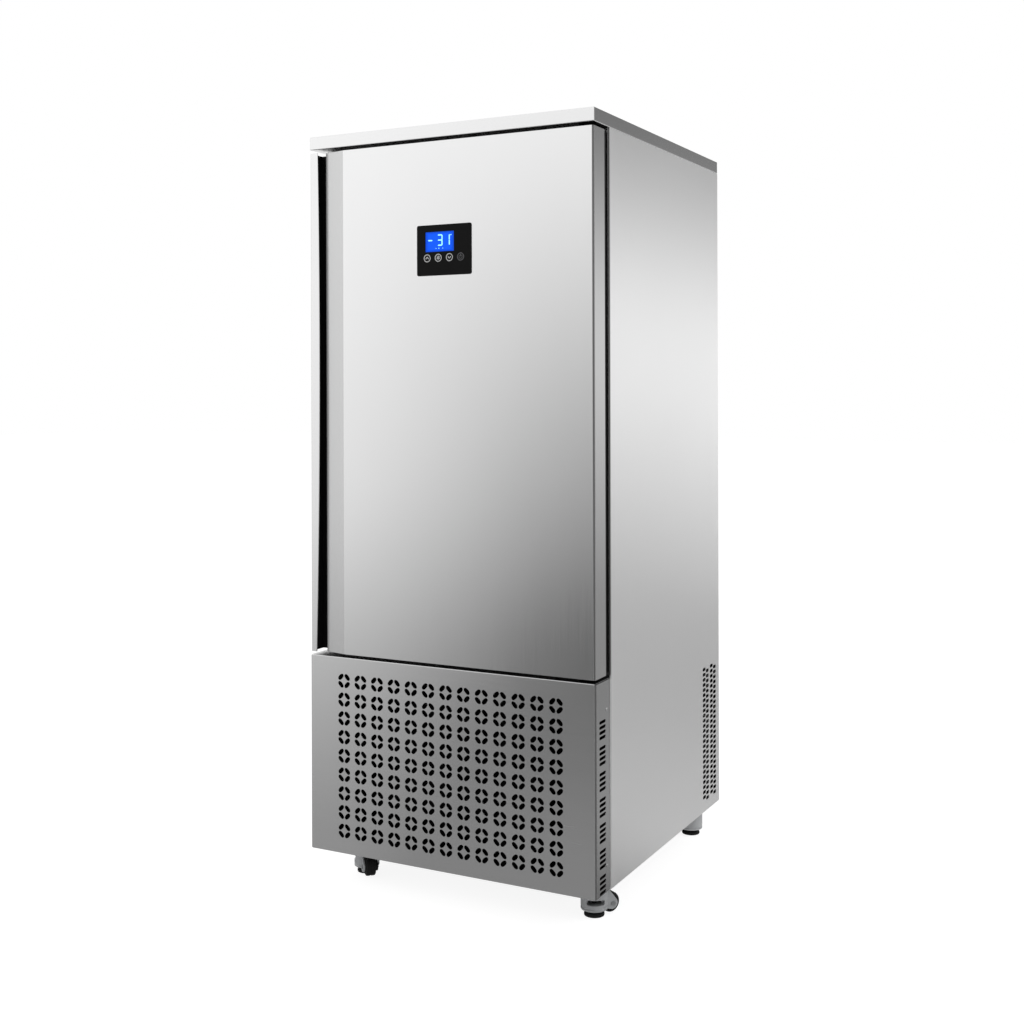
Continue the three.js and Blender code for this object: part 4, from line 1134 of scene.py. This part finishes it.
def carry_over():
    """Gives every CAD node its material, and refines those that show."""
    for node, piece in nodes.items():
        piece.data.materials.clear()
        piece.data.materials.append(SLOTS[slot_of[node]])
        if not piece.hide_render:
            refine(piece)


# --- studio ---
SURROUND = 5.0  # the studio wall's radius
WALL_TOP = 6.0
FLOOR_HALF = 30
FLOOR_LEVEL, CARD_LEVEL = -2 * MM, -1 * MM

# Brightness of the surround, as spans of (at the start, at the end, (start, end)) that add up: of the
# wall by height, and of the floor card by the distance from its middle.
WALL_LEFT = [(0.74, 1.04, (0, 0.6)), (0, 0.14, (0.8, 2.6))]
WALL_FRONT = [(0.14, 1.11, (0, 2.8))]
WALL_SIDE = [(0.41, 1.06, (0, 1.5)), (0, -0.76, (1.93, 2.9))]
CARD_LEFT = [(0.33, 0.72, (1, 5))]
CARD_FRONT = [(0.26, 0.08, (1, 3.2))]
CARD_SIDE = [(0.56, 0.42, (0.5, 2.2))]

# Where one direction's brightness blends into the next, in degrees about the studio's middle.
LEFT_TO_FRONT = (-124, -109)
FRONT_TO_SIDE = (-20, 30)
SIDE_TO_LEFT = (110, 150)
SIDE_TILT = (62, 71)
REAR_LEFT_SHADE = (-155, -135)


def seen_directly(n):
    """1 for camera, glossy and transmission rays."""
    path = n.add("ShaderNodeLightPath")
    return n.most(*(path.outputs["Is %s Ray" % kind] for kind in ("Camera", "Glossy", "Transmission")))


def add_world():
    world = bpy.data.worlds.new("studio")
    bpy.context.scene.world = world
    world.use_nodes = True
    n = Nodes(world.node_tree)
    strength = n.span(seen_directly(n), 0.5, 1.0, WHOLE)
    background = n.add("ShaderNodeBackground", {"Color": (1, 1, 1, 1), "Strength": strength})
    n.show(background.outputs["Background"], "World")


def add_floor():
    """A plain white floor that keeps a soft shadow of the object."""
    bm = bmesh.new()
    bmesh.ops.create_grid(bm, x_segments=1, y_segments=1, size=FLOOR_HALF)
    material, n = blank_material("floor_white")
    direct = seen_directly(n)
    diffuse = n.add("ShaderNodeBsdfDiffuse", {"Color": n.span(direct, 0.9, 0.25, WHOLE)})
    glow = n.add("ShaderNodeEmission", {"Strength": n.span(direct, 0.0, 0.9, WHOLE)})
    both = {0: diffuse.outputs["BSDF"], 1: glow.outputs["Emission"]}
    n.show(n.add("ShaderNodeAddShader", both).outputs["Shader"])
    floor = finish_mesh("floor", bm, material)
    floor.location.z = FLOOR_LEVEL


def level(n, value, spans):
    """The sum of some spans of a value."""
    result = n.span(value, *spans[0])
    for span in spans[1:]:
        result = n.total(result, n.span(value, *span))
    return result


def surround_material(name, upright, left, front, side):
    """Plain grey light that changes softly round the studio, by height where it stands upright and
    by the distance from the middle where it lies."""
    material, n = blank_material(name)
    x, y, height = n.parts(n.coordinates("Object"))
    turn = n.math("ARCTAN2", y, x)

    def around(start, end, sector):
        return n.span(turn, start, end, tuple(math.radians(t) for t in sector))

    if upright:
        measure = height
        tilted = n.total(height, around(0, 0.45, SIDE_TILT))
    else:
        measure = tilted = n.math("POWER", n.total(n.times(x, x), n.times(y, y)), 0.5)
    left_level = level(n, measure, left)
    light = n.mix(around(0, 1, LEFT_TO_FRONT), left_level, level(n, measure, front), "FLOAT")
    light = n.mix(around(0, 1, FRONT_TO_SIDE), light, level(n, tilted, side), "FLOAT")
    light = n.mix(around(0, 1, SIDE_TO_LEFT), light, left_level, "FLOAT")
    strength = n.times(light, around(0.8, 1.0, REAR_LEFT_SHADE))
    n.show(n.add("ShaderNodeEmission", {"Strength": strength}).outputs["Emission"])
    return material


def reflected_only(piece):
    """Only reflections see this stage piece."""
    piece.visible_camera = False
    piece.visible_diffuse = False
    piece.visible_shadow = False
    piece.visible_transmission = False


def add_surround():
    """A round studio wall and floor card in soft greys, which the steel reflects."""
    wall = surround_material("surround_wall", True, WALL_LEFT, WALL_FRONT, WALL_SIDE)
    card = surround_material("surround_floor", False, CARD_LEFT, CARD_FRONT, CARD_SIDE)
    bm = bmesh.new()
    lathe(bm, [(SURROUND, FLOOR_LEVEL), (SURROUND, WALL_TOP)], 96)
    reflected_only(finish_mesh("surround_wall", bm, wall))
    bm = bmesh.new()
    lathe(bm, [(0, CARD_LEVEL), (SURROUND, CARD_LEVEL)], 96)
    reflected_only(finish_mesh("surround_floor", bm, card))


def area_light(name, location, target, size, power):
    light = bpy.data.lights.new(name, "AREA")
    light.shape = "RECTANGLE"
    light.size, light.size_y = size
    light.energy = power
    lamp = put(name, light)
    lamp.location = location
    aim = Vector(target) - Vector(location)
    lamp.rotation_euler = aim.to_track_quat("-Z", "Y").to_euler()
    lamp.visible_glossy = False


def add_studio():
    add_world()
    add_floor()
    add_surround()
    area_light("key", (-2.6, -3.6, 3.0), (0, 0, 1.2), (2.4, 2.4), 70)
    area_light("top", (0.3, -0.5, 4.2), (0, 0, 1.0), (3.0, 3.0), 40)
    area_light("side", (3.4, 0.6, 2.8), (0.2, 0, 1.3), (2.0, 2.0), 60)


# --- assembly ---
add_camera()
lower_front()
side_sheet("right", 1, vented=True)
side_sheet("left", -1, vented=False)
top_sheet()
rear_louvres()
door_skin()
door_seal()
panel_screws()
bezel()
display()
keys()
for name, stand in caster_places():
    caster_housing(name, stand)
    caster_wheel(name, stand)
    caster_foot(name, stand)
carry_over()
add_studio()
bpy.context.scene.view_settings.view_transform = "Standard"
